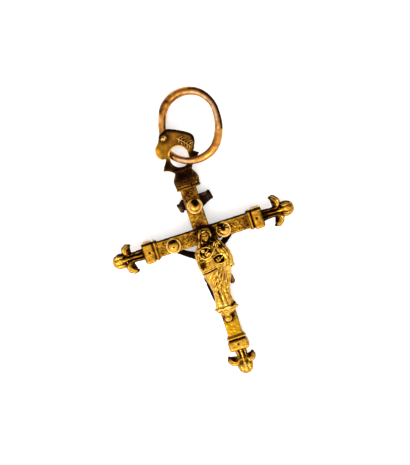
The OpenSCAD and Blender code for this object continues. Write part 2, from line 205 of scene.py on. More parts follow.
def block(bm, low, high, edge, segments=3):
    """Adds a block between two corners with its edges rounded."""
    low, high = Vector(low), Vector(high)
    place = Matrix.LocRotScale((low + high) / 2, None, high - low)
    made = bmesh.ops.create_cube(bm, size=1, matrix=place)
    edges = {e for v in made["verts"] for e in v.link_edges}
    bmesh.ops.bevel(bm, geom=list(edges), offset=edge, segments=segments, profile=0.5,
                    affect="EDGES", material=-1)


def bar(bm, start, end, width, thick, edge):
    """Adds a rounded bar along +X at the bars' middle height."""
    block(bm, (start, -width / 2, MID_Z - thick / 2), (end, width / 2, MID_Z + thick / 2), edge)


def to_object(bm, name):
    """Makes an object of a bmesh, and frees the bmesh."""
    mesh = bpy.data.meshes.new(name)
    bm.to_mesh(mesh)
    bm.free()
    piece = bpy.data.objects.new(name, mesh)
    bpy.context.scene.collection.objects.link(piece)
    return piece


def settle(piece):
    """Makes a piece's mesh what its modifiers show, and takes the modifiers off."""
    graph = bpy.context.evaluated_depsgraph_get()
    shaped = bpy.data.meshes.new_from_object(piece.evaluated_get(graph))
    old = piece.data
    piece.modifiers.clear()
    piece.data = shaped
    bpy.data.meshes.remove(old)
    return piece


def fuse(bm, name, fine=None, soften=3):
    """Makes one closed skin round all the forms in bm, as a casting has."""
    piece = to_object(bm, name)
    skin = piece.modifiers.new("Skin", "REMESH")
    skin.mode = "VOXEL"
    skin.voxel_size = fine or sizes().skin
    skin.use_smooth_shade = True
    smooth = piece.modifiers.new("Soften", "SMOOTH")
    smooth.factor = 0.5
    smooth.iterations = soften
    return settle(piece)


def cut_flat(piece, height, keep_above):
    """Cuts a piece off flat at a height and closes it there."""
    bm = bmesh.new()
    bm.from_mesh(piece.data)
    side = -1 if keep_above else 1
    cut = bmesh.ops.bisect_plane(
        bm, geom=bm.verts[:] + bm.edges[:] + bm.faces[:], dist=1e-5,
        plane_co=(0, 0, height), plane_no=(0, 0, side), clear_outer=True)
    rims = [e for e in cut["geom_cut"] if isinstance(e, bmesh.types.BMEdge)]
    bmesh.ops.triangle_fill(bm, use_beauty=True, edges=rims, normal=(0, 0, side))
    bmesh.ops.recalc_face_normals(bm, faces=bm.faces[:])
    bm.to_mesh(piece.data)
    bm.free()


def cut_away(piece, tool):
    """Cuts a closed form out of a piece. The form goes."""
    hole = piece.modifiers.new("Cut", "BOOLEAN")
    hole.operation = "DIFFERENCE"
    hole.solver = "EXACT"
    hole.object = tool
    settle(piece)
    bpy.data.objects.remove(tool)


def reopened(piece):
    """A bmesh of a piece's skin, for more forms to be fused to it. The piece goes."""
    bm = bmesh.new()
    bm.from_mesh(piece.data)
    bpy.data.objects.remove(piece)
    return bm


# Surface work, done on a finished skin

# Strokes work only on skin that faces the viewer at least this much
LEAST_FACING = 0.12
# Half widths from its middle beyond which a stroke, and a stained line, no longer counts
STROKE_REACH = 2.5
LINE_REACH = 2
# Height over which the stain of a hollow fades out, in mm
STAIN_FADE = 0.12


def points_and_normals(mesh):
    """The places and the normals of a mesh's vertices, one row each."""
    count = len(mesh.vertices)
    places = np.empty(count * 3)
    normals = np.empty(count * 3)
    mesh.vertices.foreach_get("co", places)
    mesh.vertices.foreach_get("normal", normals)
    return places.reshape(-1, 3), normals.reshape(-1, 3)


def move_points(mesh, places):
    """Puts a mesh's vertices at new places."""
    mesh.vertices.foreach_set("co", places.ravel())
    mesh.update()


def between(a, b, c, d, t):
    """A value on a smooth curve, a share t of the way from b to c. a comes before them and d after them."""
    return (b + t * (c - a) / 2 + t * t * (a - 2.5 * b + 2 * c - d / 2)
            + t ** 3 * (1.5 * (b - c) + (d - a) / 2))


def smooth_line(points, steps=6):
    """Points along a smooth line through the given ones."""
    p = np.array(points, float)
    if len(p) < 3:
        return p
    ends = np.vstack([2 * p[0] - p[1], p, 2 * p[-1] - p[-2]])
    line = [between(*ends[i:i + 4], t) for i in range(len(p) - 1) for t in np.arange(steps) / steps]
    return np.array(line + [p[-1]])


def reach_of(places, line):
    """Each place's distance to a line, and how far along the line its nearest point is, from 0 to 1."""
    if len(line) == 1:
        return np.linalg.norm(places - line[0], axis=1), np.full(len(places), 0.5)
    start, run = line[:-1], np.diff(line, axis=0)
    lengths = np.linalg.norm(run, axis=1)
    before = np.concatenate([[0], np.cumsum(lengths)])
    away = places[:, None, :] - start[None]
    share = np.clip((away * run[None]).sum(2) / (lengths ** 2)[None], 0, 1)
    gaps = np.linalg.norm(away - share[:, :, None] * run[None], axis=2)
    nearest = gaps.argmin(1)
    rows = np.arange(len(places))
    along = (before[nearest] + share[rows, nearest] * lengths[nearest]) / before[-1]
    return gaps[rows, nearest], along


def chase(piece, strokes, facing=1, taper=5.0):
    """Raises or cuts lines in the side of a piece that faces up (1) or down (-1).

    Each stroke is its points, seen from the front, the half width of its rounded profile and its height,
    which is below zero for a cut. taper says how fast a stroke's ends fade.
    """
    mesh = piece.data
    places, normals = points_and_normals(mesh)
    shift = np.zeros(len(places))
    outward = normals[:, 2] * facing > LEAST_FACING
    for points, width, height in strokes:
        line = smooth_line(points)
        low, high = line.min(0) - STROKE_REACH * width, line.max(0) + STROKE_REACH * width
        near = np.flatnonzero(outward & ((places[:, :2] > low) & (places[:, :2] < high)).all(1))
        if not len(near):
            continue
        gap, along = reach_of(places[near, :2], line)
        fade = np.clip(taper * np.minimum(along, 1 - along) + 0.25, 0, 1) if len(line) > 1 else 1
        shift[near] += height * fade * np.exp(-1.5 * (gap / width) ** 2)
    move_points(mesh, places + normals * shift[:, None])


def grains(places, size, offset=(0, 0, 0)):
    """Smooth noise at each place, with grains of a size in mm."""
    start = Vector(offset)
    return np.array([noise.noise(Vector(p) / size + start) for p in places])


def pit(piece, layers, seed):
    """Moves a piece's skin in and out a little, as casting and filing leave it. Each layer is a grain
    size and a height, in mm."""
    mesh = piece.data
    places, normals = points_and_normals(mesh)
    offset = (seed * 7.3, seed * 3.1, seed * 1.7)
    shift = np.zeros(len(places))
    for size, height in layers:
        shift += height * grains(places, size, offset)
    move_points(mesh, places + normals * shift[:, None])


def mark(piece, name, values):
    """Stores a value between -1 and 1 for each vertex, for the material to read."""
    attribute = piece.data.attributes.new(name, "FLOAT", "POINT")
    attribute.data.foreach_set("value", np.clip(values, -1, 1).astype(np.float32))


def mark_hollows(piece, layers=((5, 0.045, 0.45), (26, 0.12, 0.8))):
    """Marks where the skin lies below its surroundings (towards 1) or above them (towards 0).

    Each layer is how far round a place counts, in rounds of smoothing, the depth that counts in full, in
    mm, and the layer's share.
    """
    mesh = piece.data
    places, normals = points_and_normals(mesh)
    pairs = np.empty(len(mesh.edges) * 2, int)
    mesh.edges.foreach_get("vertices", pairs)
    a, b = pairs[::2], pairs[1::2]
    count = len(places)
    degree = np.bincount(a, minlength=count) + np.bincount(b, minlength=count)
    level = places.copy()
    hollow = np.full(count, 0.5)
    done = 0
    for rounds, depth, share in layers:
        for _ in range(rounds - done):
            for k in range(3):
                total = (np.bincount(a, weights=level[b, k], minlength=count)
                         + np.bincount(b, weights=level[a, k], minlength=count))
                level[:, k] = (level[:, k] + total / degree) / 2
        done = rounds
        above = ((level - places) * normals).sum(1)
        hollow += 0.5 * share * np.clip(above / depth, -1, 1)
    mark(piece, "hollow", np.clip(hollow, 0, 1))


def spot(places, x, y, half_w, half_h):
    """Each place's share of a round-edged spot seen from the front."""
    return np.exp(-(((places[:, 0] - x) / half_w) ** 2 + ((places[:, 1] - y) / half_h) ** 2) ** 1.5)


def mark_tarnish_and_light(piece, spots=(), lines=(), ground=0.0, sides=0.0, down=0.0, blotch=None, above=-1.0):
    """Marks stains and painted shade, which darken a piece, and rubbed places and painted highlights, which
    make it paler where an amount is below zero.

    Each spot is x, y, half width, half height, amount and, if it lies only in a hollow, the height that it
    stays below. Each line is its points, its half width and its amount. Spots and lines lie only above the
    height above. sides darkens steep faces, and down gives painted shade to faces that look down. blotch is
    the size and the strength of large blotches.
    """
    places, normals = points_and_normals(piece.data)
    steep = np.clip(1 - 1.25 * np.abs(normals[:, 2]), 0, 1)
    # sides darkens steep faces; down is painted shade on faces that look down
    stain_and_light = ground + sides * steep + down * np.clip(-normals[:, 2], 0, 1)
    if blotch:
        size, strength = blotch
        stain_and_light += strength * grains(places, size)
    front = places[:, 2] > above
    for x, y, half_w, half_h, amount, *top in spots:
        share = spot(places, x, y, half_w, half_h) * front
        if top:
            share *= np.clip((top[0] - places[:, 2]) / STAIN_FADE, 0, 1)
        stain_and_light += amount * share
    for points, width, amount in lines:
        line = smooth_line(points)
        low, high = line.min(0) - LINE_REACH * width, line.max(0) + LINE_REACH * width
        near = np.flatnonzero(front & ((places[:, :2] > low) & (places[:, :2] < high)).all(1))
        gap, _ = reach_of(places[near, :2], line)
        stain_and_light[near] += amount * np.exp(-(gap / width) ** 3)
    mark(piece, "tarnish_and_light", stain_and_light)


def arc(x, y, radius, start, end, step=15):
    """Points round an arc, its ends in degrees."""
    count = max(1, round(abs(end - start) / step))
    turns = [math.radians(start + (end - start) * i / count) for i in range(count + 1)]
    return [(x + radius * math.cos(a), y + radius * math.sin(a)) for a in turns]


def mark_upper_side(piece, below, above, spots=()):
    """Marks a piece on the back with painted shade: dark on faces that look up, towards the bars, and light
    on faces that look down, where it is rubbed. Each spot is x, y, half width, half height and amount."""
    places, normals = points_and_normals(piece.data)
    stain_and_light = below + (above - below) * np.clip(0.5 + 1.5 * normals[:, 2], 0, 1)
    for *area, amount in spots:
        stain_and_light += amount * spot(places, *area)
    mark(piece, "tarnish_and_light", stain_and_light)


def lighten(piece, most):
    """Takes out faces where the skin is flat, until a piece has no more than that many triangles."""
    count = sum(len(face.vertices) - 2 for face in piece.data.polygons)
    if count > most:
        fewer = piece.modifiers.new("Lighten", "DECIMATE")
        fewer.ratio = most / count
        settle(piece)


def finish(piece, material, slot, *nodes):
    """Brings a piece from millimetres round the crossing into the frame, with its material."""
    piece.data.transform(Matrix.Scale(MM, 4) @ Matrix.Translation((0, CROSS_Y, 0)))
    piece.data.shade_smooth()
    piece.data.materials.clear()
    piece.data.materials.append(material)
    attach(piece, "root")
    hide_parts(*nodes)


# Materials


def node(tree, kind, sockets=None, **settings):
    """Adds a node with its settings, and sets or links its sockets."""
    new = tree.nodes.new(kind)
    for name, value in settings.items():
        setattr(new, name, value)
    for key, value in (sockets or {}).items():
        if isinstance(value, bpy.types.NodeSocket):
            tree.links.new(value, new.inputs[key])
        else:
            new.inputs[key].default_value = value
    return new


def set_ramp(ramp, stops):
    """Gives a colour ramp its stops, each a place and a hex colour."""
    elements = ramp.color_ramp.elements
    while len(elements) < len(stops):
        elements.new(0.5)
    for element, (place, colour) in zip(elements, stops):
        element.position = place
        element.color = linear(colour)


def gold(name, stops, polish, mottle_mm=0.7, mottle=0.3, hollow_weight=1.0, grain_mm=0.12, grain=0.35,
         rough_dirt=0.62):
    """Worn gold: the metal is bright on its high places and holds brown dirt in its hollows.

    18 carat yellow gold, cast and chased. Its high places are rubbed to a soft shine, and a mottled
    brown film covers the rest. stops are the colours from clean (0) to dirty (1); the marked tarnish also
    runs along them as painted highlights and painted shade.
    """
    material = bpy.data.materials.new(name)
    material.use_nodes = True
    tree = material.node_tree
    tree.nodes.clear()
    place = node(tree, "ShaderNodeTexCoord").outputs["Object"]
    hollow = node(tree, "ShaderNodeAttribute", attribute_name="hollow").outputs["Fac"]
    tarnish_and_light = node(tree, "ShaderNodeAttribute", attribute_name="tarnish_and_light").outputs["Fac"]
    blotch = node(tree, "ShaderNodeTexNoise", {
        "Vector": place, "Scale": 1 / (mottle_mm * MM), "Detail": 5.0, "Roughness": 0.65}).outputs["Fac"]
    # Dirt gathers where the skin is hollow and in blotches; the marked tarnish adds stains, painted shade and
    # painted highlights, so dirt below holds painted light as well
    from_hollow = node(tree, "ShaderNodeMath", {0: hollow, 1: hollow_weight, 2: -0.5 * hollow_weight},
                       operation="MULTIPLY_ADD").outputs["Value"]
    from_blotch = node(tree, "ShaderNodeMath", {0: blotch, 1: 2 * mottle, 2: 0.42 - mottle},
                       operation="MULTIPLY_ADD").outputs["Value"]
    both = node(tree, "ShaderNodeMath", {0: from_hollow, 1: from_blotch}, operation="ADD").outputs["Value"]
    dirt = node(tree, "ShaderNodeMath", {0: both, 1: tarnish_and_light},
                operation="ADD", use_clamp=True).outputs["Value"]
    colour = node(tree, "ShaderNodeValToRGB", {"Fac": dirt})
    set_ramp(colour, stops)
    rough = node(tree, "ShaderNodeMapRange", {
        "Value": dirt, "From Min": 0.3, "From Max": 1.0, "To Min": polish,
        "To Max": rough_dirt}).outputs["Result"]
    scratches = node(tree, "ShaderNodeTexNoise", {
        "Vector": place, "Scale": 1 / (grain_mm * MM), "Detail": 3.0}).outputs["Fac"]
    relief = node(tree, "ShaderNodeBump", {
        "Height": scratches, "Strength": grain, "Distance": 0.02 * MM}).outputs["Normal"]
    shader = node(tree, "ShaderNodeBsdfPrincipled", {
        "Base Color": colour.outputs["Color"], "Roughness": rough, "Metallic": 1.0, "Normal": relief})
    node(tree, "ShaderNodeOutputMaterial", {"Surface": shader.outputs["BSDF"]})
    return material


def worn_gold():
    """Rubbed yellow gold of the bars."""
    c = colours()
    return gold("Worn_yellow_gold", [(0.1, c.bright), (0.42, c.body), (0.68, c.brown), (0.98, c.recess)],
                polish=0.27, mottle=0.5)


def cap_gold():
    """Rubbed yellow gold of the end caps, a little paler on the bulbs and petals."""
    c = colours()
    return gold("Rubbed_yellow_gold", [
        (0.0, "#DDB04C"), (0.2, "#BF8D2E"), (0.45, "#A4711B"), (0.7, c.brown), (0.95, c.recess)],
        polish=0.2, mottle=0.24, mottle_mm=0.6)


def cast_gold():
    """Cast and chased gold of the front figure, pale on its folds."""
    c = colours()
    return gold("Cast_yellow_gold", [(0.1, c.pale), (0.42, c.robe), (0.68, "#75480F"), (0.92, c.recess)],
                polish=0.23, mottle=0.34, mottle_mm=0.45, hollow_weight=1.2)


def polished_gold():
    """Domed rivets, polished by wear."""
    c = colours()
    return gold("Polished_yellow_gold", [(0.2, "#D2AC62"), (0.5, c.robe), (0.75, c.brown), (1.0, c.recess)],
                polish=0.16, mottle=0.1, grain=0.2)


def dark_gold():
    """Gold of the back and the pins: its dark browns give the back figure's upward faces their painted shade.
    """
    c = colours()
    return gold("Dark_tarnished_and_shaded_gold", [(0.1, c.body), (0.35, c.brown), (0.6, "#2E1A08"), (0.9, "#0F0603")],
                polish=0.36, mottle=0.2, hollow_weight=0.8)


def scroll_gold():
    """Dull grey-brown gold of the title scroll."""
    return gold("Dull_brown_gold", [(0.1, "#8A6E50"), (0.4, "#54402C"), (0.68, "#27190F"), (0.95, "#100806")],
                polish=0.3, mottle=0.3, mottle_mm=0.9, hollow_weight=0.9)


def olive_gold():
    """Dull olive gold of the hanging eye, orange on its lower left and dark at the neck."""
    c = colours()
    return gold("Olive_gold", [
        (0.0, "#CBA763"), (0.14, c.orange), (0.4, c.olive), (0.64, "#42250A"), (0.95, c.recess)],
        polish=0.34, mottle=0.14, mottle_mm=1.2, hollow_weight=1.2)


def rose_gold():
    """Polished rose gold wire, with painted dark reflections and painted highlights along it."""
    c = colours()
    # The palest stop colours the painted highlights, and the darkest the painted dark reflections
    return gold("Rose_gold", [(0.0, "#E6BC9A"), (0.26, c.rose), (0.62, c.rose_shade), (1.0, "#2A1206")],
                polish=0.24, mottle=0.3, mottle_mm=1.3, grain=0.15, rough_dirt=0.4)


# Bars

SIDE_REACH = 9.4
UPPER_REACH = 9.8
LOWER_REACH = 21.1
INTO_CAP = 1.2
BAR_EDGE = 0.36


def running_scroll(start, end, turn, depth, pitch=2.9, swing=0.62):
    """Engraved running scroll between two places along a bar: a waved stem with a curl in each bend.

    turn maps a place along and across the bar to its x and y.
    """
    count = max(2, round(abs(end - start) / (pitch / 2)))
    step = (end - start) / count
    strokes = [([turn(start + step * i / 4, swing * math.sin(math.pi * i / 4)) for i in range(count * 4 + 1)],
                0.13, -depth)]
    for i in range(count):
        side = 1 if i % 2 == 0 else -1
        middle = start + step * (i + 0.5)
        curl = []
        for k in range(9):
            angle = math.radians(90 * side + 40 * k * (1 if step > 0 else -1) * side)
            radius = 0.5 - 0.045 * k
            curl.append(turn(middle + radius * math.cos(angle), -0.25 * side + radius * math.sin(angle)))
        strokes.append((curl, 0.11, -depth))
        leaf = [turn(middle + 0.5 * step, -0.5 * side), turn(middle + 0.72 * step, -1.1 * side)]
        strokes.append((leaf, 0.14, -depth))
    return strokes


def worn_marks(low, high, count, depth, seed):
    """Short shallow cuts and dents, scattered over a rectangle as wear leaves them."""
    rng = np.random.default_rng(seed)
    strokes = []
    for _ in range(count):
        line = [tuple(rng.uniform(low, high))]
        heading, bend, step = rng.uniform(0, math.tau), rng.uniform(-1, 1), rng.uniform(0.05, 0.25)
        for _ in range(3):
            x, y = line[-1]
            heading += bend
            line.append((x + step * math.cos(heading), y + step * math.sin(heading)))
        strokes.append((line, rng.uniform(0.09, 0.2), -depth * rng.uniform(-0.8, 1.6)))
    return strokes


# Stains of the bars: x, y, half width, half height and amount, which is below zero where they are rubbed
BAR_SPOTS = [
    (0.1, 9.2, 2.6, 2.6, 0.2), (0.1, 3.6, 2.4, 2.6, 0.08), (0, 0.4, 2.8, 1.6, 0.26),
    (0, -16.2, 2.4, 1.6, 0.2), (-8.9, 0.1, 0.5, 1.6, 0.06), (-8.6, 0.5, 0.8, 0.35, -0.2),
    (-8.0, -0.8, 0.5, 0.5, -0.16), (8.9, 0, 0.5, 1.6, 0.12), (4.2, 0, 2.0, 1.9, 0.05),
    (2.1, -0.5, 0.75, 1.3, 0.22), (-1.1, -17.3, 0.5, 0.6, 0.4), (0.6, -17.3, 0.5, 0.6, 0.4),
    (-0.3, -18.1, 0.9, 0.25, 0.35), (-0.2, -19.6, 2.4, 2.4, -0.26),
]
# Stained, shaded and rubbed lines: points, half width, amount. Dirt and painted shadow lie in the corners
# round the figure's veil, and a painted shade line runs along the crossbar's upper edge with a painted
# highlight just below it
BAR_LINES = [
    (arc(0.28, 0.06, 1.8, 30, 160), 0.3, 0.3), (arc(0.28, 0.06, 1.9, -30, 40), 0.45, 0.2),
    ([(-9.4, 1.5), (9.4, 1.5)], 0.17, 0.45), ([(-9.4, 1.2), (9.4, 1.2)], 0.1, -0.16),
    ([(-1.2, -18.3), (-1.2, -21.0)], 0.25, -0.2),
]


def across_bar(way, side):
    """A place on the crossbar, so far along and so far to its side."""
    return way, side


def up_bar(way, side):
    """A place on the upright, so far along and so far to its side."""
    return -side, way


def make_bars():
    """The crossbar and the upright in one piece, engraved and worn."""
    s = sizes()
    bm = bmesh.new()
    bar(bm, -SIDE_REACH - INTO_CAP, SIDE_REACH + INTO_CAP, s.crossbar_w, FRONT_Z - BACK_Z, BAR_EDGE)
    arms = ((0, UPPER_REACH + INTO_CAP, s.upper_w), (-LOWER_REACH - INTO_CAP, 0, s.lower_w))
    for start, end, width in arms:
        block(bm, (-width / 2, start, BACK_Z), (width / 2, end, FRONT_Z), BAR_EDGE)
    piece = fuse(bm, "Bars", soften=2)

    # The lower arm is worn nearly smooth
    depth = s.engraving
    cut = 0.9 * depth
    strokes = running_scroll(-9.0, -1.6, across_bar, cut) + running_scroll(9.0, 1.6, across_bar, cut)
    strokes += running_scroll(9.6, 1.8, up_bar, cut) + running_scroll(-20.8, -1.8, up_bar, 0.26 * cut)
    half = s.crossbar_w / 2
    strokes += worn_marks((-9.2, -half), (9.2, half), 230, 0.8 * depth, 31)
    strokes += worn_marks((-half, 1.5), (half, 9.8), 100, 0.7 * depth, 32)
    strokes += worn_marks((-half, -21), (half, -1.5), 90, 0.5 * depth, 33)
    pit(piece, [(1.3, 0.05), (0.45, 0.05), (0.2, 0.02)], seed=1)
    for facing in (1, -1):
        chase(piece, strokes, facing)
    mark_hollows(piece)
    mark_tarnish_and_light(piece, BAR_SPOTS, BAR_LINES, ground=0.14, sides=0.3, down=0.12, blotch=(1.7, 0.28),
                 above=MID_Z)
    lighten(piece, most=150000)
    finish(piece, worn_gold(), "yellow_gold", "cross_body")


# End caps, each modelled along +X with its mouth at x = 0

BAND_L = 1.05
CAP_L = 3.15
BLOCK_W = 4.5
BLOCK_T = 3.4
PIN_X = BAND_L + 0.8
# Mouldings from the mouth: start, end, width and thickness next to the block's, edge
MOULDINGS = [
    (0.0, 0.36, -0.7, -0.9, 0.1),
    (0.3, 0.74, -0.32, -0.55, 0.16),
    (0.62, 1.04, -0.85, -1.05, 0.06),
]
# Petals, one row each: how far across the root, the outer bend and the tip lie, then how far past the
# stem's end the outer bend and the tip lie
LEFT_PETALS = [(-0.85, -2.0, -2.55, 0.1, -1.1), (0.9, 2.2, 2.75, -0.1, -1.4)]
RIGHT_PETALS = [(0.85, 2.1, 3.0, 0.1, -1.1), (-0.8, -1.9, -2.6, -0.1, -1.4)]
BOTTOM_PETALS = [(0.8, 1.75, 2.15, 0.0, -1.2), (-0.85, -2.1, -2.7, 0.0, -1.3)]


def petal_path(row, stem_end):
    """A curled petal's middle line and its half widths, from the stem to its tip."""
    root, outer, tip, outer_past, tip_past = row
    side = 1 if outer > 0 else -1
    return [
        (stem_end - 0.9, side * 0.62, MID_Z, 0.4),
        (stem_end - 0.35, root, MID_Z + 0.15, 0.56),
        (stem_end + 0.05, (root + outer) / 2, MID_Z + 0.3, 0.7),
        (stem_end + outer_past - 0.12, outer, MID_Z + 0.35, 0.72),
        (stem_end + 0.45 * outer_past + 0.55 * tip_past, outer + (tip - outer) * 0.85, MID_Z + 0.35, 0.6),
        (stem_end + tip_past, tip, MID_Z + 0.3, 0.34),
    ]


def cushion(bm, start, end, width, thick, side_edge, end_edge):
    """Adds a block along +X whose long edges are rounded more than its ends."""
    low = Vector((start, -width / 2, MID_Z - thick / 2))
    high = Vector((end, width / 2, MID_Z + thick / 2))
    made = bmesh.ops.create_cube(bm, size=1, matrix=Matrix.LocRotScale((low + high) / 2, None, high - low))
    edges = {e for v in made["verts"] for e in v.link_edges}
    long_edges = [e for e in edges if abs(e.verts[0].co.x - e.verts[1].co.x) > 1e-4]
    rounded = bmesh.ops.bevel(bm, geom=long_edges, offset=side_edge, segments=5, profile=0.5,
                              affect="EDGES", material=-1)
    around = {e for v in rounded["verts"] for e in v.link_edges}
    ends = [e for e in around if abs(e.verts[0].co.x - e.verts[1].co.x) < 1e-4
            and min(abs(e.verts[0].co.x - start), abs(e.verts[0].co.x - end)) < 1e-4]
    bmesh.ops.bevel(bm, geom=ends, offset=end_edge, segments=3, profile=0.5, affect="EDGES", material=-1)


def cap_forms(width, stem_end, tip, petals):
    """The forms of an end cap: mouldings, block, ribbed stem, bulb and curled petals."""
    bm = bmesh.new()
    for start, end, wider, thicker, edge in MOULDINGS:
        bar(bm, start, end, width + wider, BLOCK_T + thicker, edge)
    cushion(bm, 0.94, CAP_L, width, BLOCK_T, 0.62, 0.6)
    # Ribs of the stem. The middle one swells into the bulb, and the outer ones run into the petals
    limb(bm, [(CAP_L - 0.3, 0, MID_Z + 0.3, 0.42), (stem_end - 0.6, 0, MID_Z + 0.4, 0.36),
              (stem_end + 0.5, 0, MID_Z + 0.6, 0.48), (tip - 1.0, 0, MID_Z + 0.62, 0.56)])
    for side in (-1, 1):
        limb(bm, [(CAP_L - 0.3, side * 0.8, MID_Z + 0.05, 0.44),
                  ((CAP_L + stem_end) / 2, side * 0.66, MID_Z, 0.38),
                  (stem_end - 0.5, side * 0.72, MID_Z + 0.05, 0.42)])
    ball(bm, (CAP_L, 0, MID_Z), (0.26, 1.25, 0.95))
    block(bm, (CAP_L - 0.3, -0.6, MID_Z - 0.5), (stem_end + 0.6, 0.6, MID_Z + 0.2), 0.1)
    # Bulb: a rounded bud with three swellings
    ball(bm, (tip - 1.42, 0, MID_Z), (1.42, 1.5, 1.22))
    for side in (-1, 1):
        ball(bm, (tip - 1.5, side * 0.72, MID_Z + 0.12), (1.3, 0.84, 1.05), (0, 0, -14 * side))
    limb(bm, [(tip - 0.6, 0, MID_Z + 0.15, 0.5), (tip - 0.14, 0, MID_Z + 0.1, 0.16)])
    for row in petals:
        path = petal_path(row, stem_end)
        limb(bm, path)
        # A low web fills the bend of the petal
        x, y = path[-1][:2]
        limb(bm, [(x + 0.25, y * 0.86, MID_Z - 0.15, 0.34),
                  (stem_end - 0.75, row[0] * 1.15, MID_Z - 0.15, 0.34),
                  (stem_end - 0.2, row[1] * 0.7, MID_Z - 0.1, 0.45)])
    return bm


def cap_cuts(stem_end, tip, petals, seed, top, ridges, dirt):
    """Grooves, curls, veins and scratches of an end cap."""
    strokes = []
    for side in (-1, 1):
        # Grooves between the ribs, which run on into the bulb
        strokes.append(([(CAP_L, side * 0.42), (stem_end - 0.3, side * 0.36), (stem_end + 0.5, side * 0.46)],
                        0.16, -0.11 - 0.2 * dirt))
        strokes.append(([(stem_end + 0.3, side * 0.42), (tip - 1.4, side * 0.6), (tip - 0.6, side * 0.5)],
                        0.15, -0.09))
        if ridges > 2:
            outer = [(stem_end + 0.3, side * 0.75), (tip - 1.6, side * 1.12), (tip - 0.8, side * 0.98)]
            strokes.append((outer, 0.13, -0.16))
        strokes.append(([(CAP_L + 0.1, side * 1.12), (stem_end - 1.0, side * 0.98)], 0.12, -0.12))
    for side in (-1, 1):
        # A worn curl is engraved on each side of the block's middle
        curl = ((1.45, 1.5), (1.5, 0.95), (1.95, 0.7), (2.3, 1.0), (2.1, 1.35))
        strokes.append(([(x, side * y) for x, y in curl], 0.14, -0.03))
    for row in petals:
        # Two veins run up each petal
        side = 1 if row[1] > 0 else -1
        for across, lift in ((0.12, -0.1), (-0.16, 0.07)):
            vein = [(x + across, y + side * across) for x, y in plan(petal_path(row, stem_end)[1:])]
            strokes.append((vein, 0.11, lift))
    if top:
        # The block steps down along its upper side
        strokes.append(([(0.95, top * 1.8), (3.2, top * 1.8)], 0.2, -0.15))
    strokes += worn_marks((1.3, -1.8), (2.9, 1.8), 9, 0.05, seed)
    strokes += worn_marks((CAP_L, -1.0), (tip - 0.5, 1.0), 34, 0.08, seed + 20)
    return strokes


def cap_stains(stem_end, tip, petals, top, dirt, rub=0.06, seam=0.35, bulb_rub=0.15, petal_dirt=0.0,
               middle=0.0):
    """Stained and rubbed spots and lines of an end cap, with painted shade and painted highlights, for
    mark_tarnish_and_light.

    dirt is how dark the stem is stained, seam how dark the gap between the mouldings and the block is, and
    petal_dirt how dark the petals are. rub and bulb_rub say how much the block and the bulb are rubbed.
    middle is half the width of a rubbed middle rib, which widens into the bulb; the side ribs beside it get
    painted shade. top gives painted shade along the upper side and a painted highlight on the block's rim.
    """
    spots = [
        (CAP_L + 0.3, 0, 0.6, 1.9, 0.5 * dirt), ((CAP_L + stem_end) / 2, 0, 1.4, 1.7, dirt),
        (0.12, 0, 0.2, 3, 0.25), (0.88, 0, 0.16, 3, seam), (PIN_X, 0, 0.27, 0.27, 0.6),
        (2.0, 0, 1.2, 2.1, -rub), (tip - 1.2, 0, 1.4, 1.7, -bulb_rub)]
    lines = [([(CAP_L + 0.2, y), (stem_end, 0.8 * y)], 0.13, 0.35 * dirt - 0.36)
             for y in ((0,) if middle else (-0.72, 0, 0.72))]
    if middle:
        lines.append(([(CAP_L + 0.3, 0), (stem_end, 0), (tip - 1.2, 0)], middle, -0.26))
        for side in (-1, 1):
            # The flare is rubbed paler, and the side ribs get painted shade
            flare = [(stem_end - 0.7, side * 0.15), (stem_end + 0.2, side * 0.42), (tip - 1.2, side * 0.7)]
            lines.append((flare, 0.22, -0.5))
            lines.append(([(CAP_L + 0.2, side * 0.55), (stem_end - 0.5, side * 0.5)], 0.13, 0.15))
    lines.append(([(CAP_L + 0.3, 0.2), (CAP_L + 1.4, 0.05), (stem_end + 0.2, -0.25)], 0.07, -0.4))
    lines += [([(stem_end + 0.6, y), (tip - 0.5, y)], 0.14, -0.15) for y in (-0.85, 0, 0.85)]
    for row in petals:
        side = 1 if row[1] > 0 else -1
        tip_x, tip_y = stem_end + row[4], row[2]
        path = petal_path(row, stem_end)
        # Dirt fills the side of each petal that faces the block, and its outer side is rubbed
        spots += [(tip_x - 0.1, tip_y, 0.4, 0.5, 0.34), (*path[4][:2], 1.1, 1.0, petal_dirt),
                  (tip_x + 0.3, tip_y - side * 0.9, 0.75, 0.65, 0.3, MID_Z + 0.35)]
        lines.append(([(x - 0.45, y - side * 0.32) for x, y in plan(path[3:])], 0.2, 0.3))
        lines.append(([(x + 0.25, y + side * 0.15) for x, y in plan(path[1:])], 0.2, -0.32))
        lines.append(([(x + r - 0.02, y + side * 0.3) for x, y, z, r in path[3:]], 0.1, 0.3))
    if top:
        # Painted shade along the upper side of the block, the stem and the bulb, and a painted highlight on
        # the block's upper rim
        lines += [
            ([(0.1, top * 1.76), (3.2, top * 1.76)], 0.24, 0.75),
            ([(0.1, top * 2.1), (3.2, top * 2.1)], 0.13, -0.45),
            ([(CAP_L, top * 1.05), (stem_end + 0.3, top * 0.95)], 0.2, 0.5),
            ([(stem_end + 0.5, top * 1.15), (tip - 1.3, top * 1.45), (tip - 0.6, top * 1.15)], 0.25, 0.5)]
    return spots, lines


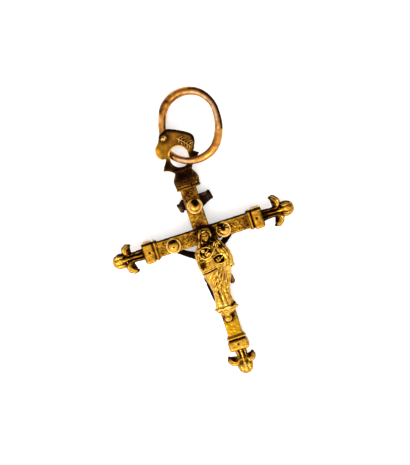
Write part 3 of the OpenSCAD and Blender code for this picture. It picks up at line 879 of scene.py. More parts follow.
def make_cap(side, angle, reach, width, stem_l, bulb_l, petals, seed, top=0, ridges=2, dirt=0.6, **stains):
    """Makes the end cap of one side, turned to its angle.

    top is the side of it that is up in the photograph, and ridges the number of grooves in its bulb.
    """
    stem_end = CAP_L + stem_l
    tip = stem_end + bulb_l
    piece = fuse(cap_forms(width, stem_end, tip, petals), f"End_cap_{side}", soften=2)
    pit(piece, [(0.9, 0.06), (0.35, 0.014)], seed)
    strokes = cap_cuts(stem_end, tip, petals, seed, top, ridges, dirt)
    for facing in (1, -1):
        chase(piece, strokes, facing)
        # A small seat is cut round the pin
        chase(piece, [([(PIN_X, 0)], 0.3, -0.12)], facing)
    mark_hollows(piece)
    spots, lines = cap_stains(stem_end, tip, petals, top, dirt, **stains)
    mark_tarnish_and_light(piece, spots, lines, ground=0.04, sides=0.3, down=0.15, blotch=(0.9, 0.16), above=MID_Z)
    piece.data.transform(Matrix.Rotation(math.radians(angle), 4, "Z") @ Matrix.Translation((reach, 0, 0)))
    lighten(piece, most=90000)
    finish(piece, cap_gold(), "yellow_gold", f"end_cap_{side}")


def make_pin(side):
    """A small pin, slightly domed and worn at its ends, down in its seat."""
    cad_node = f"pin_{side}"
    low, high = box_mm(cad_node)
    half = (high.z - low.z) / 2 - 0.06
    bm = bmesh.new()
    rod(bm, (*middle_of(cad_node), MID_Z), (high.x - low.x) / 2, 2 * half, 40)
    ends = [e for e in bm.edges if abs(e.verts[0].co.z - e.verts[1].co.z) < 1e-6]
    bmesh.ops.bevel(bm, geom=ends, offset=0.09, segments=4, profile=0.5, affect="EDGES", material=-1)
    bmesh.ops.triangulate(bm, faces=bm.faces[:])
    piece = to_object(bm, f"Pin_{side}")
    mark_hollows(piece, [(2, 0.05, 1.0)])
    mark_tarnish_and_light(piece, ground=0.85)
    finish(piece, dark_gold(), "dark_gold", cad_node)


# Hanging eye

TOP_X = 0.2
NECK_W = 3.7
EYE_AT = (0.3, 16.4)
EYE_R = 1.9
EYE_STRETCH = 0.27
EYE_LEAN = 22
LEAN_Y = 14.9
EYE_T = 0.85
PLATE_LOW = MID_Z - 0.38
BEAD_AT = (-1.5, 21.1)
# Plan of the neck, the pointed side tips and the lobe
NECK_PLAN = [
    (TOP_X - NECK_W / 2, 12.3), (TOP_X - NECK_W / 2 + 0.05, 13.5), (-2.6, 14.2), (-3.7, 14.5), (-3.2, 15.4),
    (-2.5, 16.4), (-2.2, 17.2), (2.9, 17.2), (3.4, 16.7), (4.4, 16.0), (3.6, 15.3), (2.6, 14.4),
    (TOP_X + NECK_W / 2 - 0.05, 13.5), (TOP_X + NECK_W / 2, 12.3)
]
LOBE_PLAN = [
    (-2.5, 16.8), (-3.2, 16.95), (-3.8, 17.6), (-4.02, 18.6), (-3.75, 19.5), (-3.0, 20.25), (-2.4, 21.1),
    (-1.6, 21.95), (-0.4, 22.48), (1.4, 21.8), (3.0, 20.9), (4.0, 20.1), (4.32, 19.4), (4.2, 18.4),
    (3.75, 17.5), (3.2, 16.8), (0.3, 16.2)
]
# Mouldings of the top cap: start, end, width next to the cap's, thickness next to the block's, edge
TOP_CAP_W = 5.1
TOP_MOULDINGS = [
    (0.0, 0.42, -0.1, -0.1, 0.16),
    (0.3, 0.75, -0.4, -0.35, 0.08),
    (0.65, 1.05, -0.1, -0.1, 0.16),
]
# The cap's bell above them: how far along, width and thickness
TOP_BELL = [
    (0.95, 4.9, 3.3), (1.2, 5.12, 3.5), (1.9, 5.15, 3.5), (2.3, 4.95, 3.3), (2.7, 4.5, 2.85),
    (3.0, 4.15, 2.45), (3.3, 3.85, 2.1),
]
# Stains of the eye's front: x, y, half width, half height, amount
EYE_SPOTS = [
    (0.2, 11.3, 3.4, 1.7, 0.34), (0.2, 13.2, 3.2, 1.5, 0.32), (0.3, 15.0, 5, 1.3, 0.38),
    (3.8, 16.2, 1.2, 0.9, 0.45), (-2.75, 15.95, 0.85, 0.95, 0.5), (-3.2, 18.2, 1.6, 1.8, -0.1),
    (-0.6, 19.9, 2.2, 2.0, 0.12), (2.4, 19.0, 1.4, 1.5, 0.18), (-1.5, 21.1, 1.25, 1.15, 0.5),
    (*BEAD_AT, 0.9, 0.88, -0.9), (BEAD_AT[0] + 0.05, BEAD_AT[1], 0.2, 0.2, 0.6),
]
# Painted dark reflection along the lobe's upper edge and a dark line down its right edge, rubbed edges of the
# hole and the side tips, rubbed seams of the top cap, and painted highlights down the sides of the top cap
# and the neck
EYE_LINES = [
    ([(-2.3, 21.4), (-1.4, 22.0), (-0.4, 22.45), (1.4, 21.8), (3.0, 20.9), (4.1, 20.05), (4.35, 19.2)],
     0.55, 0.85),
    ([(4.35, 19.2), (4.2, 18.2), (3.6, 17.1)], 0.3, 0.6), (arc(0.3, 16.66, 2.05, 35, 160), 0.15, -0.24),
    ([(-2.5, 15.7), (-3.5, 14.75)], 0.16, -0.1), ([(-3.6, 14.55), (-2.6, 14.2), (-1.9, 13.7)], 0.2, -0.14),
    ([(1.9, 12.4), (1.95, 13.0)], 0.14, -0.4), ([(-1.75, 12.3), (-1.6, 13.4)], 0.12, -0.4),
    ([(-1.8, 10.35), (-0.4, 10.5), (0.7, 10.3)], 0.12, -0.35), ([(-2.2, 10.0), (0.6, 9.95)], 0.1, -0.15),
    ([(2.0, 10.6), (2.5, 11.6)], 0.16, -0.3),
]


def bell(bm, rows):
    """Adds a form along the upright with a rounded oblong section at each row: place, width, thickness."""
    loops = []
    for along, width, thick in rows:
        made = bmesh.ops.create_circle(bm, cap_ends=False, segments=64, radius=1)["verts"]
        for v in made:
            x, z = (math.copysign(abs(c) ** 0.42, c) for c in (v.co.x, v.co.y))
            v.co = (TOP_X + x * width / 2, UPPER_REACH + along, MID_Z + z * thick / 2)
        loops.append(made)
    bridge(bm, loops)


def bridge(bm, loops):
    """Closes a row of loops of vertices to one skin with two ends."""
    edges = [list({e for v in verts for e in v.link_edges}) for verts in loops]
    for a, b in zip(edges, edges[1:]):
        bmesh.ops.bridge_loops(bm, edges=a + b)
    for verts in (loops[0], loops[-1]):
        bmesh.ops.contextual_create(bm, geom=verts)
    faces = {f for verts in loops for v in verts for f in v.link_faces}
    bmesh.ops.recalc_face_normals(bm, faces=list(faces))


def plate_rise(y):
    """Height of the eye plate's underside above its start, where the plate leans forward."""
    return max(0.0, y - LEAN_Y) * math.tan(math.radians(EYE_LEAN))


def plate(bm, outline, thick, low):
    """Adds a plate with an outline in plan, leaning forward past the neck."""
    base = [bm.verts.new((x, y, 0)) for x, y in outline]
    face = bm.faces.new(base)
    if face.normal.z > 0:
        face.normal_flip()
    grown = bmesh.ops.extrude_face_region(bm, geom=[face])
    top = [v for v in grown["geom"] if isinstance(v, bmesh.types.BMVert)]
    bmesh.ops.translate(bm, verts=top, vec=(0, 0, thick))
    # Rows across the plate let it bend where the lean starts
    mine = {e for v in base + top for e in v.link_edges}
    faces = {f for e in mine for f in e.link_faces}
    for y in (LEAN_Y - 0.3, LEAN_Y, LEAN_Y + 0.4):
        around = list({v for f in faces for v in f.verts}) + list(mine) + list(faces)
        cut = bmesh.ops.bisect_plane(bm, geom=around, plane_co=(0, y, 0), plane_no=(0, 1, 0))
        faces |= {f for f in cut["geom"] if isinstance(f, bmesh.types.BMFace)}
        mine |= {e for f in faces for e in f.edges}
    verts = {v for f in faces if f.is_valid for v in f.verts}
    for v in verts:
        v.co.z += low + plate_rise(v.co.y)
    bmesh.ops.recalc_face_normals(bm, faces=[f for f in faces if f.is_valid])


def outline_arc(points, steps=3):
    """A smooth closed outline through the points."""
    n = len(points)
    line = []
    for i in range(n):
        near = [np.array(points[(i + k) % n]) for k in (-1, 0, 1, 2)]
        line += [tuple(between(*near, t)) for t in np.arange(steps) / steps]
    return line


def pierce(piece):
    """Cuts the eye's hole through a piece."""
    x, y = EYE_AT
    bm = bmesh.new()
    for side in (-1, 1):
        rod(bm, (x, y + side * EYE_STRETCH, 5), EYE_R, 12, 72)
    block(bm, (x - EYE_R, y - EYE_STRETCH, -1), (x + EYE_R, y + EYE_STRETCH, 11), 0.001, 1)
    cut_away(piece, fuse(bm, "Eye_cutter", fine=0.08, soften=0))


def eye_forms():
    """The forms of the top cap, the neck and the leaning plate with its lobe."""
    bm = bmesh.new()
    for start, end, wider, thicker, edge in TOP_MOULDINGS:
        width, thick = TOP_CAP_W + wider, BLOCK_T + thicker
        block(bm, (TOP_X - width / 2, UPPER_REACH + start, MID_Z - thick / 2),
              (TOP_X + width / 2, UPPER_REACH + end, MID_Z + thick / 2), edge)
    bell(bm, TOP_BELL)
    half = NECK_W / 2 - 0.05
    block(bm, (TOP_X - NECK_W / 2 + 0.05, 12.2, MID_Z - 0.75), (TOP_X + half, 14.0, MID_Z + 0.75), 0.3)
    plate(bm, NECK_PLAN, EYE_T, PLATE_LOW)
    plate(bm, outline_arc(LOBE_PLAN), EYE_T / math.cos(math.radians(EYE_LEAN)), PLATE_LOW)
    return bm


def spray():
    """Strokes of a chased spray on the lobe's right: its stem, and leaves on both sides with cuts between."""
    leaves = [([(1.05, 20.0), (1.9, 19.25), (2.6, 18.45), (3.15, 17.6)], 0.13, 0.16)]
    for k in range(5):
        x, y = 1.3 + 0.42 * k, 19.95 - 0.44 * k
        long = 0.86 + 0.3 * (k % 2)
        leaves += [
            ([(x, y), (x + 0.42, y + 0.2 * long), (x + long, y + 0.12)], 0.15, 0.13),
            ([(x + 0.12, y - 0.14), (x + 0.5, y + 0.04), (x + 0.9 * long, y - 0.12)], 0.1, -0.12),
            ([(x - 0.02, y - 0.3), (x - 0.1, y - 0.8 * long)], 0.14, 0.11),
            ([(x + 0.16, y - 0.5), (x + 0.1, y - 0.8 * long)], 0.1, -0.11)]
    return leaves


def make_hanging_eye():
    """The top cap with its neck, pierced eye and chased lobe, cast in one piece."""
    piece = fuse(eye_forms(), "Hanging_eye", soften=3)
    pierce(piece)
    # A second skin rounds the hole's edges and takes in the bead
    again = reopened(piece)
    x, y = BEAD_AT
    ball(again, (x, y, PLATE_LOW + plate_rise(y) + EYE_T), 0.9)
    piece = fuse(again, "Hanging_eye", soften=2)

    pit(piece, [(2.2, 0.05), (0.7, 0.03)], seed=5)
    leaves = spray()
    # The rim of the hole is pressed in at its upper edge
    strokes = leaves + [([(-1.1, 18.55), (0.3, 18.95), (1.7, 18.55)], 0.2, -0.08)]
    # Scratches and dents in the top cap and the neck
    strokes += worn_marks((-2.2, 9.9), (2.6, 13.6), 70, 0.09, 51)
    # A cut across the bead, and dents round it
    strokes.append(([(x - 0.1, y + 0.12), (x + 0.16, y - 0.16)], 0.15, -0.28))
    strokes += [([(x + 0.54 * math.cos(a), y + 0.54 * math.sin(a))], 0.15, -0.2)
                for a in (0.5, 1.8, 3.0, 4.3, 5.5)]
    chase(piece, strokes)
    mark_hollows(piece)
    stains = [(points, width, -0.17 if lift > 0 else 0.14) for points, width, lift in leaves]
    mark_tarnish_and_light(piece, EYE_SPOTS, EYE_LINES + stains, sides=0.2, down=0.15, blotch=(1.4, 0.16))
    lighten(piece, most=110000)
    finish(piece, olive_gold(), "dull_gold", "hanging_eye")


# Jump ring: the radius of its middle line seen from the front, every 30 degrees from +X

RING_BENDS = [6.2, 6.8, 7.1, 6.7, 6.05, 5.3, 5.3, 6.55, 6.8, 6.85, 6.7, 6.25]
# The wire's thickness at the same places, as shares of that in the eye
RING_SWELL = [1.06, 0.95, 1.15, 1.2, 1.16, 1.05, 1, 1, 0.99, 1.06, 1.16, 1.16]
RING_CENTRE = (3.8, 21.7)
RING_LEAN = 27.5
RING_RISE_DIR = 330
# The ring is soldered shut here
RING_SEAM = 136
# Stains of the ring, and painted shade over its top: x, y, half width, half height, amount
RING_SPOTS = [
    (-2.2, 21.3, 0.9, 1.3, 0.3), (-0.6, 26.2, 0.8, 0.6, 0.35), (1.8, 28.2, 4.4, 1.4, 0.3),
    (0.0, 27.3, 2.2, 1.6, 0.26), (7.4, 16.2, 2.2, 1.8, 0.2), (-1.5, 24.9, 0.6, 1.0, -0.3),
]
# Painted dark reflections (amount above zero) and painted highlights (below zero) along the wire: how far
# outside the wire's middle, from and to which angle, half width, amount
RING_STREAKS = [
    (0.56, -20, 72, 0.22, 0.75), (0.42, 0, 60, 0.2, 0.5), (-0.5, 60, 130, 0.2, -0.2),
    (-0.2, -20, 90, 0.22, -0.34), (-0.52, 138, 192, 0.17, 0.5), (0.05, 222, 272, 0.2, -0.36),
]


def round_ring(values, angle):
    """A value between those given round the ring, at an angle in degrees."""
    count = len(values)
    place = angle / (360 / count)
    i = math.floor(place)
    return between(*(values[(i + k) % count] for k in (-1, 0, 1, 2)), place - i)


def ring_plan(angle, out=0.0):
    """A place on the ring's middle line seen from the front, or so far outside it."""
    reach = round_ring(RING_BENDS, angle) + out
    turn = math.radians(angle)
    return RING_CENTRE[0] + reach * math.cos(turn), RING_CENTRE[1] + reach * math.sin(turn)


def ring_point(angle):
    """A point of the ring's middle line, at height 0 for the ring's middle."""
    slope = math.tan(math.radians(RING_LEAN))
    rise = slope * round_ring(RING_BENDS, angle) * math.cos(math.radians(angle - RING_RISE_DIR))
    return Vector((*ring_plan(angle), rise))


def make_jump_ring():
    """A closed ring of round wire, bent by hand, thinner at its soldered joint."""
    steps, sides = 168, 24
    angles = [360 * i / steps for i in range(steps)]
    half = {a: sizes().wire / 2 * round_ring(RING_SWELL, a) for a in angles}
    # The ring's lowest place touches the floor
    seat = Vector((0, 0, max(half[a] - ring_point(a).z for a in angles)))
    bm = bmesh.new()
    loops = []
    for angle in angles:
        run = (ring_point(angle + 1) - ring_point(angle - 1)).normalized()
        from_seam = abs((angle - RING_SEAM + 180) % 360 - 180)
        wire = half[angle] * (1 - 0.09 * math.exp(-(from_seam / 1.6) ** 2)) - 0.012
        made = bmesh.ops.create_circle(bm, cap_ends=False, segments=sides, radius=wire,
                                       matrix=aimed(ring_point(angle) + seat, run))
        loops.append(list({e for v in made["verts"] for e in v.link_edges}))
    for a, b in zip(loops, loops[1:] + loops[:1]):
        bmesh.ops.bridge_loops(bm, edges=a + b)
    bmesh.ops.recalc_face_normals(bm, faces=bm.faces[:])
    piece = to_object(bm, "Jump_ring")
    finer = piece.modifiers.new("Round", "SUBSURF")
    finer.levels = finer.render_levels = 1
    settle(piece)
    pit(piece, [(3.0, 0.05), (1.0, 0.02)], seed=9)
    mark_hollows(piece, [(8, 0.12, 1.0)])
    # Painted dark reflections and painted highlights along the wire
    streaks = [([ring_plan(a, out) for a in range(start, end, 10)], width, amount)
               for out, start, end, width, amount in RING_STREAKS]
    mark_tarnish_and_light(piece, RING_SPOTS, streaks, blotch=(0.8, 0.26))
    finish(piece, rose_gold(), "rose_gold", "jump_ring")


# Rivets

# Radius, height and rim's height of a domed head
DOME = (1.6, 1.1, 0.25)
FOOT_DOME = (0.6, 0.4, 0.1)
# The shank through the bar, and the head on the back
SHANK_R = 0.42
BACK_HEAD_R = 0.75
BACK_HEAD_H = 0.42


def dome_profile(radius, height, rim):
    """Half section of a domed head from its top to its rim: a worn dome inside a broad raised bead."""
    bead = 0.24 * radius
    dome_r, arc_h = radius - bead, height - rim
    count = 14
    line = []
    for i in range(count + 1):
        share = math.sin(math.pi / 2 * i / count)
        line.append((dome_r * share, rim + arc_h * (1 - share ** 2.5) ** 0.62))
    return line + [(dome_r + 0.1 * bead, rim + 0.09), (dome_r + 0.45 * bead, rim + 0.15),
                   (dome_r + 0.8 * bead, rim + 0.08), (radius, rim - 0.08), (radius, 0.0)]


def spun(bm, profile, at, seat):
    """Adds a closed turned form: a half section of radius and height rows, from the axis outwards."""
    rows = [bm.verts.new((at[0] + r, at[1], seat + h)) for r, h in profile]
    edges = [bm.edges.new(pair) for pair in zip(rows, rows[1:])]
    bmesh.ops.spin(bm, geom=rows + edges, cent=(*at, 0), axis=(0, 0, 1), angle=math.tau, steps=72,
                   use_merge=True)


def make_rivet(cad_node, dome, seed, strokes=(), spots=(), lines=()):
    """Makes a domed head on the front, a shank through the bar and a small head on the back.

    Strokes, spots and lines are placed from the head's middle.
    """
    low, high = box_mm(cad_node)
    x, y = middle_of(cad_node)
    seat = high.z - dome[1]
    head = low.z + BACK_HEAD_H - seat
    rounding = [math.radians(15 * k) for k in range(1, 6)]
    bm = bmesh.new()
    profile = dome_profile(*dome) + [(SHANK_R, 0.0), (SHANK_R, head), (BACK_HEAD_R, head)]
    profile += [(BACK_HEAD_R * math.cos(a), head - BACK_HEAD_H * math.sin(a)) for a in rounding]
    spun(bm, profile + [(0.0, low.z - seat)], (x, y), seat)
    bmesh.ops.remove_doubles(bm, verts=bm.verts[:], dist=1e-4)
    bmesh.ops.recalc_face_normals(bm, faces=bm.faces[:])
    piece = fuse(bm, cad_node.capitalize(), fine=0.05, soften=2)
    pit(piece, [(1.0, 0.05), (0.35, 0.02)], seed)

    def placed(rows):
        return [([(x + px, y + py) for px, py in points], width, amount) for points, width, amount in rows]

    chase(piece, placed(strokes), taper=3.0)
    mark_hollows(piece, [(14, 0.12, 1.0)])
    mark_tarnish_and_light(piece, [(x + sx, y + sy, *rest) for sx, sy, *rest in spots], placed(lines),
                 sides=0.15, down=0.5, blotch=(0.6, 0.16), above=MID_Z)
    lighten(piece, most=30000)
    finish(piece, polished_gold(), "rivet_gold", cad_node)


def make_rivets():
    """The three domed rivets, each with its own wear, and the small one under the console."""
    # Dirt in the groove round the dome, and a painted highlight round the bead except at its top
    around = [(arc(0, 0, 1.22, -90, 270), 0.05, 0.1), (arc(0, 0, 1.4, -210, 40), 0.26, -0.2)]
    # The dark patches over the tops of the domes are painted dark reflections
    make_rivet("boss_left", DOME, 21, [([(0.0, -0.25)], 0.16, -0.14)],
               [(0.0, -0.25, 0.2, 0.18, 0.6), (0.1, 0.88, 0.85, 0.4, 0.8), (0.0, -0.3, 1.0, 0.8, 0.1)],
               around)
    claws = []
    for a in (math.radians(d) for d in (-20, 20, 62, 140, 178, 212)):
        inner = (0.5 * math.cos(a), 0.25 + 0.5 * math.sin(a))
        outer = (1.1 * math.cos(a), 0.1 + 1.05 * math.sin(a))
        claws.append(([inner, outer], 0.14, 0.14))
    # The pale lines along the claws are painted highlights
    make_rivet("boss_right", DOME, 22, claws + [([(0.05, 0.3)], 0.45, -0.2)],
               [(0.05, 0.45, 0.85, 0.72, 0.75), (-0.6, 1.2, 0.6, 0.5, 0.55), (-1.35, 0.1, 0.42, 0.8, 0.42)],
               around + [(points, 0.1, -0.35) for points, width, lift in claws])
    make_rivet("boss_top", DOME, 23, [([(0.3, 0.5)], 0.45, -0.2), ([(0.0, 0.9)], 0.2, 0.08)],
               [(0.3, 0.65, 0.72, 0.85, 0.85), (0.1, -0.95, 0.5, 0.2, 0.2)], around)
    make_rivet("foot_rivet", FOOT_DOME, 24, spots=[(0, 0, 0.8, 0.8, 0.14)])


# Front figure, whose heights are measured from the bars' front

FIGURE_Z = FRONT_Z + GAP
HEAD_AT = (0.3, -0.15)
# Sections from top to bottom: y, left edge, right edge, height
ROBE = [
    (-1.7, -0.3, 1.0, 0.7), (-2.1, -1.0, 1.9, 0.95), (-3.2, -2.3, 3.3, 1.3), (-4.6, -2.7, 4.0, 1.5),
    (-6.2, -2.8, 4.2, 1.66), (-7.4, -2.6, 3.95, 1.72), (-7.9, -2.45, 3.35, 1.73), (-8.8, -2.2, 3.0, 1.72),
    (-9.8, -1.95, 2.55, 1.68), (-11.4, -1.65, 1.85, 1.58), (-12.8, -1.72, 1.58, 1.49),
    (-14.0, -1.95, 1.75, 1.44), (-15.1, -2.2, 2.2, 1.44),
]
CONSOLE = [
    (-15.0, -2.15, 2.2, 1.15), (-15.45, -2.3, 2.3, 1.2), (-15.75, -2.0, 2.05, 1.15), (-16.2, -1.4, 1.3, 1.0),
    (-16.6, -1.05, 0.75, 0.8), (-17.0, -0.85, 0.35, 0.6), (-17.3, -0.8, 0.25, 0.5),
]
# Limbs, here and below: x, y, height and radius at each joint. The veil falls over the shoulders and arms
VEIL_FALLS = [
    [(-0.85, -0.5, 0.9, 0.38), (-1.15, -1.4, 0.8, 0.42), (-1.7, -2.3, 0.8, 0.46), (-2.35, -3.2, 0.75, 0.46),
     (-2.5, -4.6, 0.7, 0.44), (-2.45, -6.2, 0.7, 0.4)],
    [(1.5, -0.5, 0.9, 0.4), (1.95, -1.4, 0.85, 0.48), (2.5, -2.4, 0.85, 0.55), (3.25, -3.4, 0.8, 0.5),
     (3.75, -4.6, 0.75, 0.46), (3.9, -5.9, 0.7, 0.44), (3.65, -7.0, 0.7, 0.5)],
]
# Shoulders with their sleeves, and the forearm under the child
ARMS = [
    [(-1.5, -2.7, 0.9, 0.7), (-2.0, -4.4, 1.0, 0.66), (-1.7, -5.0, 1.2, 0.5)],
    [(2.2, -3.0, 0.9, 0.85), (2.9, -4.8, 1.05, 0.8), (2.6, -6.1, 1.2, 0.6)],
    [(-2.0, -4.9, 1.4, 0.42), (-0.9, -5.1, 1.6, 0.42), (0.4, -4.8, 1.6, 0.4)],
]
# Edge of the veil round the face
VEIL_EDGE = [
    (-1.5, -1.9, 1.25, 0.24), (-1.2, -1.1, 1.25, 0.22), (-1.0, -0.2, 1.3, 0.19), (-0.72, 0.65, 1.35, 0.17),
    (-0.2, 1.12, 1.35, 0.16), (0.35, 1.26, 1.35, 0.16), (0.9, 1.08, 1.35, 0.16), (1.3, 0.55, 1.35, 0.17),
    (1.45, -0.2, 1.3, 0.19), (1.3, -0.9, 1.25, 0.2), (1.35, -1.5, 1.2, 0.22),
]
# Low crown over the hair
CROWN = [
    (-0.58, 0.42, 1.6, 0.12), (-0.36, 0.66, 1.82, 0.12), (0.0, 0.78, 1.98, 0.12), (0.3, 0.82, 2.02, 0.12),
    (0.6, 0.78, 1.98, 0.12), (0.96, 0.66, 1.82, 0.12), (1.18, 0.42, 1.6, 0.12),
]
# Gathered cloth on the shoulder
GATHERS = [
    [(1.4, -2.45, 1.55, 0.15), (1.58, -1.95, 1.68, 0.17), (2.05, -1.72, 1.7, 0.18), (2.55, -1.95, 1.62, 0.17),
     (2.75, -2.45, 1.5, 0.14)],
    [(1.75, -2.75, 1.55, 0.13), (1.85, -2.3, 1.68, 0.15), (2.2, -2.2, 1.7, 0.15), (2.38, -2.55, 1.58, 0.13)],
    [(2.05, -2.95, 1.5, 0.13), (2.12, -2.65, 1.62, 0.12)],
    [(2.85, -1.85, 1.35, 0.14), (3.1, -2.5, 1.3, 0.15), (3.3, -3.3, 1.25, 0.14)],
]
# Buds cast on the console: x, y, height, radius
CONSOLE_BUDS = [
    (-1.75, -15.72, 0.85, 0.2), (-1.25, -15.78, 1.02, 0.22), (-0.7, -15.7, 1.1, 0.2),
    (-0.15, -15.82, 1.12, 0.24), (0.42, -15.7, 1.1, 0.2), (0.95, -15.8, 1.04, 0.22), (1.5, -15.72, 0.9, 0.2),
    (-0.95, -16.22, 0.85, 0.2), (-0.4, -16.25, 0.92, 0.22), (0.15, -16.22, 0.9, 0.2),
    (0.6, -16.24, 0.8, 0.18), (-0.6, -16.68, 0.66, 0.18), (-0.12, -16.7, 0.66, 0.2),
]
# Edge of cloth round the child
CRADLE = [
    (0.5, -2.75, 1.5, 0.2), (-0.1, -2.4, 1.5, 0.2), (-0.9, -2.3, 1.45, 0.22), (-1.65, -2.6, 1.4, 0.24),
    (-1.95, -3.3, 1.45, 0.26), (-1.7, -4.1, 1.6, 0.28), (-1.0, -4.55, 1.75, 0.28), (-0.1, -4.4, 1.8, 0.28),
    (0.6, -3.95, 1.8, 0.26), (1.1, -3.4, 1.7, 0.26), (1.5, -2.9, 1.5, 0.24),
]
# Edge of the open sleeve
CUFF = [
    (0.5, -5.2, 1.6, 0.17), (0.75, -4.78, 1.62, 0.2), (1.3, -4.5, 1.62, 0.17), (1.85, -4.42, 1.58, 0.22),
    (2.5, -4.75, 1.48, 0.17), (2.85, -5.35, 1.42, 0.22), (2.6, -6.0, 1.45, 0.16), (2.0, -6.32, 1.52, 0.2),
    (1.3, -6.15, 1.6, 0.14),
]
# Hem of the robe
HEM = [
    (-2.2, -15.0, 1.0, 0.26), (-1.75, -15.25, 1.2, 0.28), (-1.2, -15.1, 1.35, 0.24), (-0.7, -15.3, 1.4, 0.26),
    (-0.2, -15.1, 1.45, 0.22), (0.4, -15.05, 1.45, 0.22), (0.9, -15.3, 1.4, 0.24), (1.4, -15.2, 1.25, 0.22),
    (2.2, -15.4, 1.0, 0.26),
]
# Hollows that are cut deep before the head, the child and the hands go in: points, half width, depth
ROBE_HOLLOWS = [
    ([(-1.25, -3.1), (-0.9, -3.7), (-0.1, -3.7)], 0.52, -0.7), ([(-1.2, -3.0), (-0.1, -3.1)], 0.45, -0.55),
    ([(0.8, -5.05), (1.6, -5.4), (2.55, -5.5)], 0.58, -0.85),
    ([(-1.95, -5.1), (-1.9, -5.8), (-1.95, -6.3)], 0.72, -0.3), ([(1.9, -2.4), (2.5, -2.9)], 0.5, -0.25),
    ([(0.4, -1.75), (0.4, -2.2)], 0.5, -0.3), ([(1.65, -0.9), (1.75, -1.5)], 0.35, -0.3),
]
# Ridges (above zero) and valleys (below zero) of the robe: width, share of the fold height, line
ROBE_FOLDS = [
    (0.34, 0.9, [(3.35, -5.0), (3.15, -6.5), (2.6, -8.0), (1.8, -9.4), (1.0, -10.8)]),
    (0.2, -0.8, [(2.95, -5.7), (2.7, -6.9), (2.1, -8.1), (1.3, -9.4), (0.5, -10.8)]),
    (0.28, 0.8, [(2.6, -6.0), (2.25, -7.1), (1.65, -8.2), (0.85, -9.4), (0.05, -10.5)]),
    (0.18, -0.65, [(2.15, -6.5), (1.8, -7.4), (1.15, -8.4), (0.35, -9.5), (-0.2, -10.2)]),
    (0.28, 0.7, [(1.7, -6.6), (1.3, -7.5), (0.65, -8.5), (-0.2, -9.5)]),
    (0.17, -0.55, [(1.2, -6.9), (0.75, -7.8), (0.0, -8.7), (-0.75, -9.5)]),
    (0.26, 0.6, [(0.7, -7.2), (0.15, -8.0), (-0.6, -8.8), (-1.3, -9.3)]),
    (0.36, 0.9, [(3.3, -7.7), (2.8, -8.8), (2.15, -10.2), (1.6, -11.6), (1.35, -13.0), (1.35, -14.4)]),
    (0.2, -0.6, [(2.85, -8.2), (2.2, -9.5), (1.5, -10.8), (1.05, -12.2)]),
    (0.4, 0.7, [(-1.45, -9.9), (-1.2, -11.4), (-1.25, -13.0), (-1.5, -14.7)]),
    (0.22, -1.3, [(-0.85, -11.0), (-0.6, -12.2), (-0.52, -13.6), (-0.55, -14.7)]),
    (0.3, 0.8, [(-0.25, -11.0), (-0.05, -12.2), (0.05, -13.6), (0.1, -14.8)]),
    (0.18, -0.9, [(0.6, -11.4), (0.5, -12.6), (0.55, -13.7), (0.65, -14.6)]),
    (0.24, 0.6, [(1.0, -12.4), (0.95, -13.4), (1.0, -14.6)]),
    (0.16, -0.7, [(-1.85, -12.8), (-1.85, -13.8), (-1.95, -14.7)]),
    (0.14, -0.5, [(1.3, -12.0), (1.2, -13.0), (1.25, -14.2)]),
    (0.13, -0.5, [(-0.4, -9.9), (0.1, -9.3), (0.7, -8.8)]),
    (0.13, -0.5, [(-1.2, -10.4), (-0.6, -10.1), (-0.1, -9.6)]),
]
# Stains and rubbed spots: x, y, half width, half height, amount and, for those in a hollow, the height they
# stay below. The dark spots right of the head, under the head, among and under the shoulder's gathers and
# under the robe's right flare are painted shadow
FIGURE_SPOTS = [
    (1.65, -1.35, 0.8, 0.7, 0.8), (-0.75, -1.75, 0.5, 0.45, 0.6), (0.4, -1.8, 0.75, 0.4, 0.6),
    (-0.65, -3.35, 1.25, 0.95, 1.0, FRONT_Z + 1.7), (1.65, -5.35, 1.3, 0.85, 1.0, FRONT_Z + 1.58),
    (-1.9, -5.5, 0.95, 0.95, 0.42), (-2.05, -6.5, 0.22, 0.2, 0.5), (-2.0, -6.95, 0.6, 0.3, -0.2),
    (-1.0, -2.9, 0.35, 0.35, -0.35), (0.0, -3.65, 0.3, 0.25, -0.35), (0.85, -4.85, 0.3, 0.2, -0.3),
    (2.75, -3.05, 0.85, 0.6, 0.55), (2.2, -2.35, 0.9, 0.6, 0.5, FRONT_Z + 1.66),
    (0.3, 0.1, 1.0, 1.2, 0.17), (1.4, -5.42, 0.75, 0.5, 0.26), (2.3, -8.0, 1.6, 1.4, -0.22),
    (-0.4, -8.6, 1.8, 1.2, -0.1), (0.0, -14.6, 2.4, 0.9, -0.22), (-0.1, -16.0, 2.4, 1.2, -0.1),
    (1.6, -14.75, 0.8, 0.35, 0.6), (2.05, -14.3, 0.35, 0.6, 0.45), (-1.15, -17.0, 0.45, 0.55, 0.6),
    (0.6, -17.0, 0.45, 0.55, 0.6), (-2.3, -14.3, 0.3, 0.6, 0.2), (0.4, -11.0, 2.2, 3.4, 0.02),
]


def loft(bm, rows):
    """Adds a skin bridged from section to section, closed at both ends."""
    loops = []
    for y, left, right, height in rows:
        place = Matrix.LocRotScale(Vector(((left + right) / 2, y, FRONT_Z)), Euler((math.radians(90), 0, 0)),
                                   Vector(((right - left) / 2, height, 1)))
        made = bmesh.ops.create_circle(bm, cap_ends=False, segments=40, radius=1, matrix=place)
        loops.append(made["verts"])
    bridge(bm, loops)


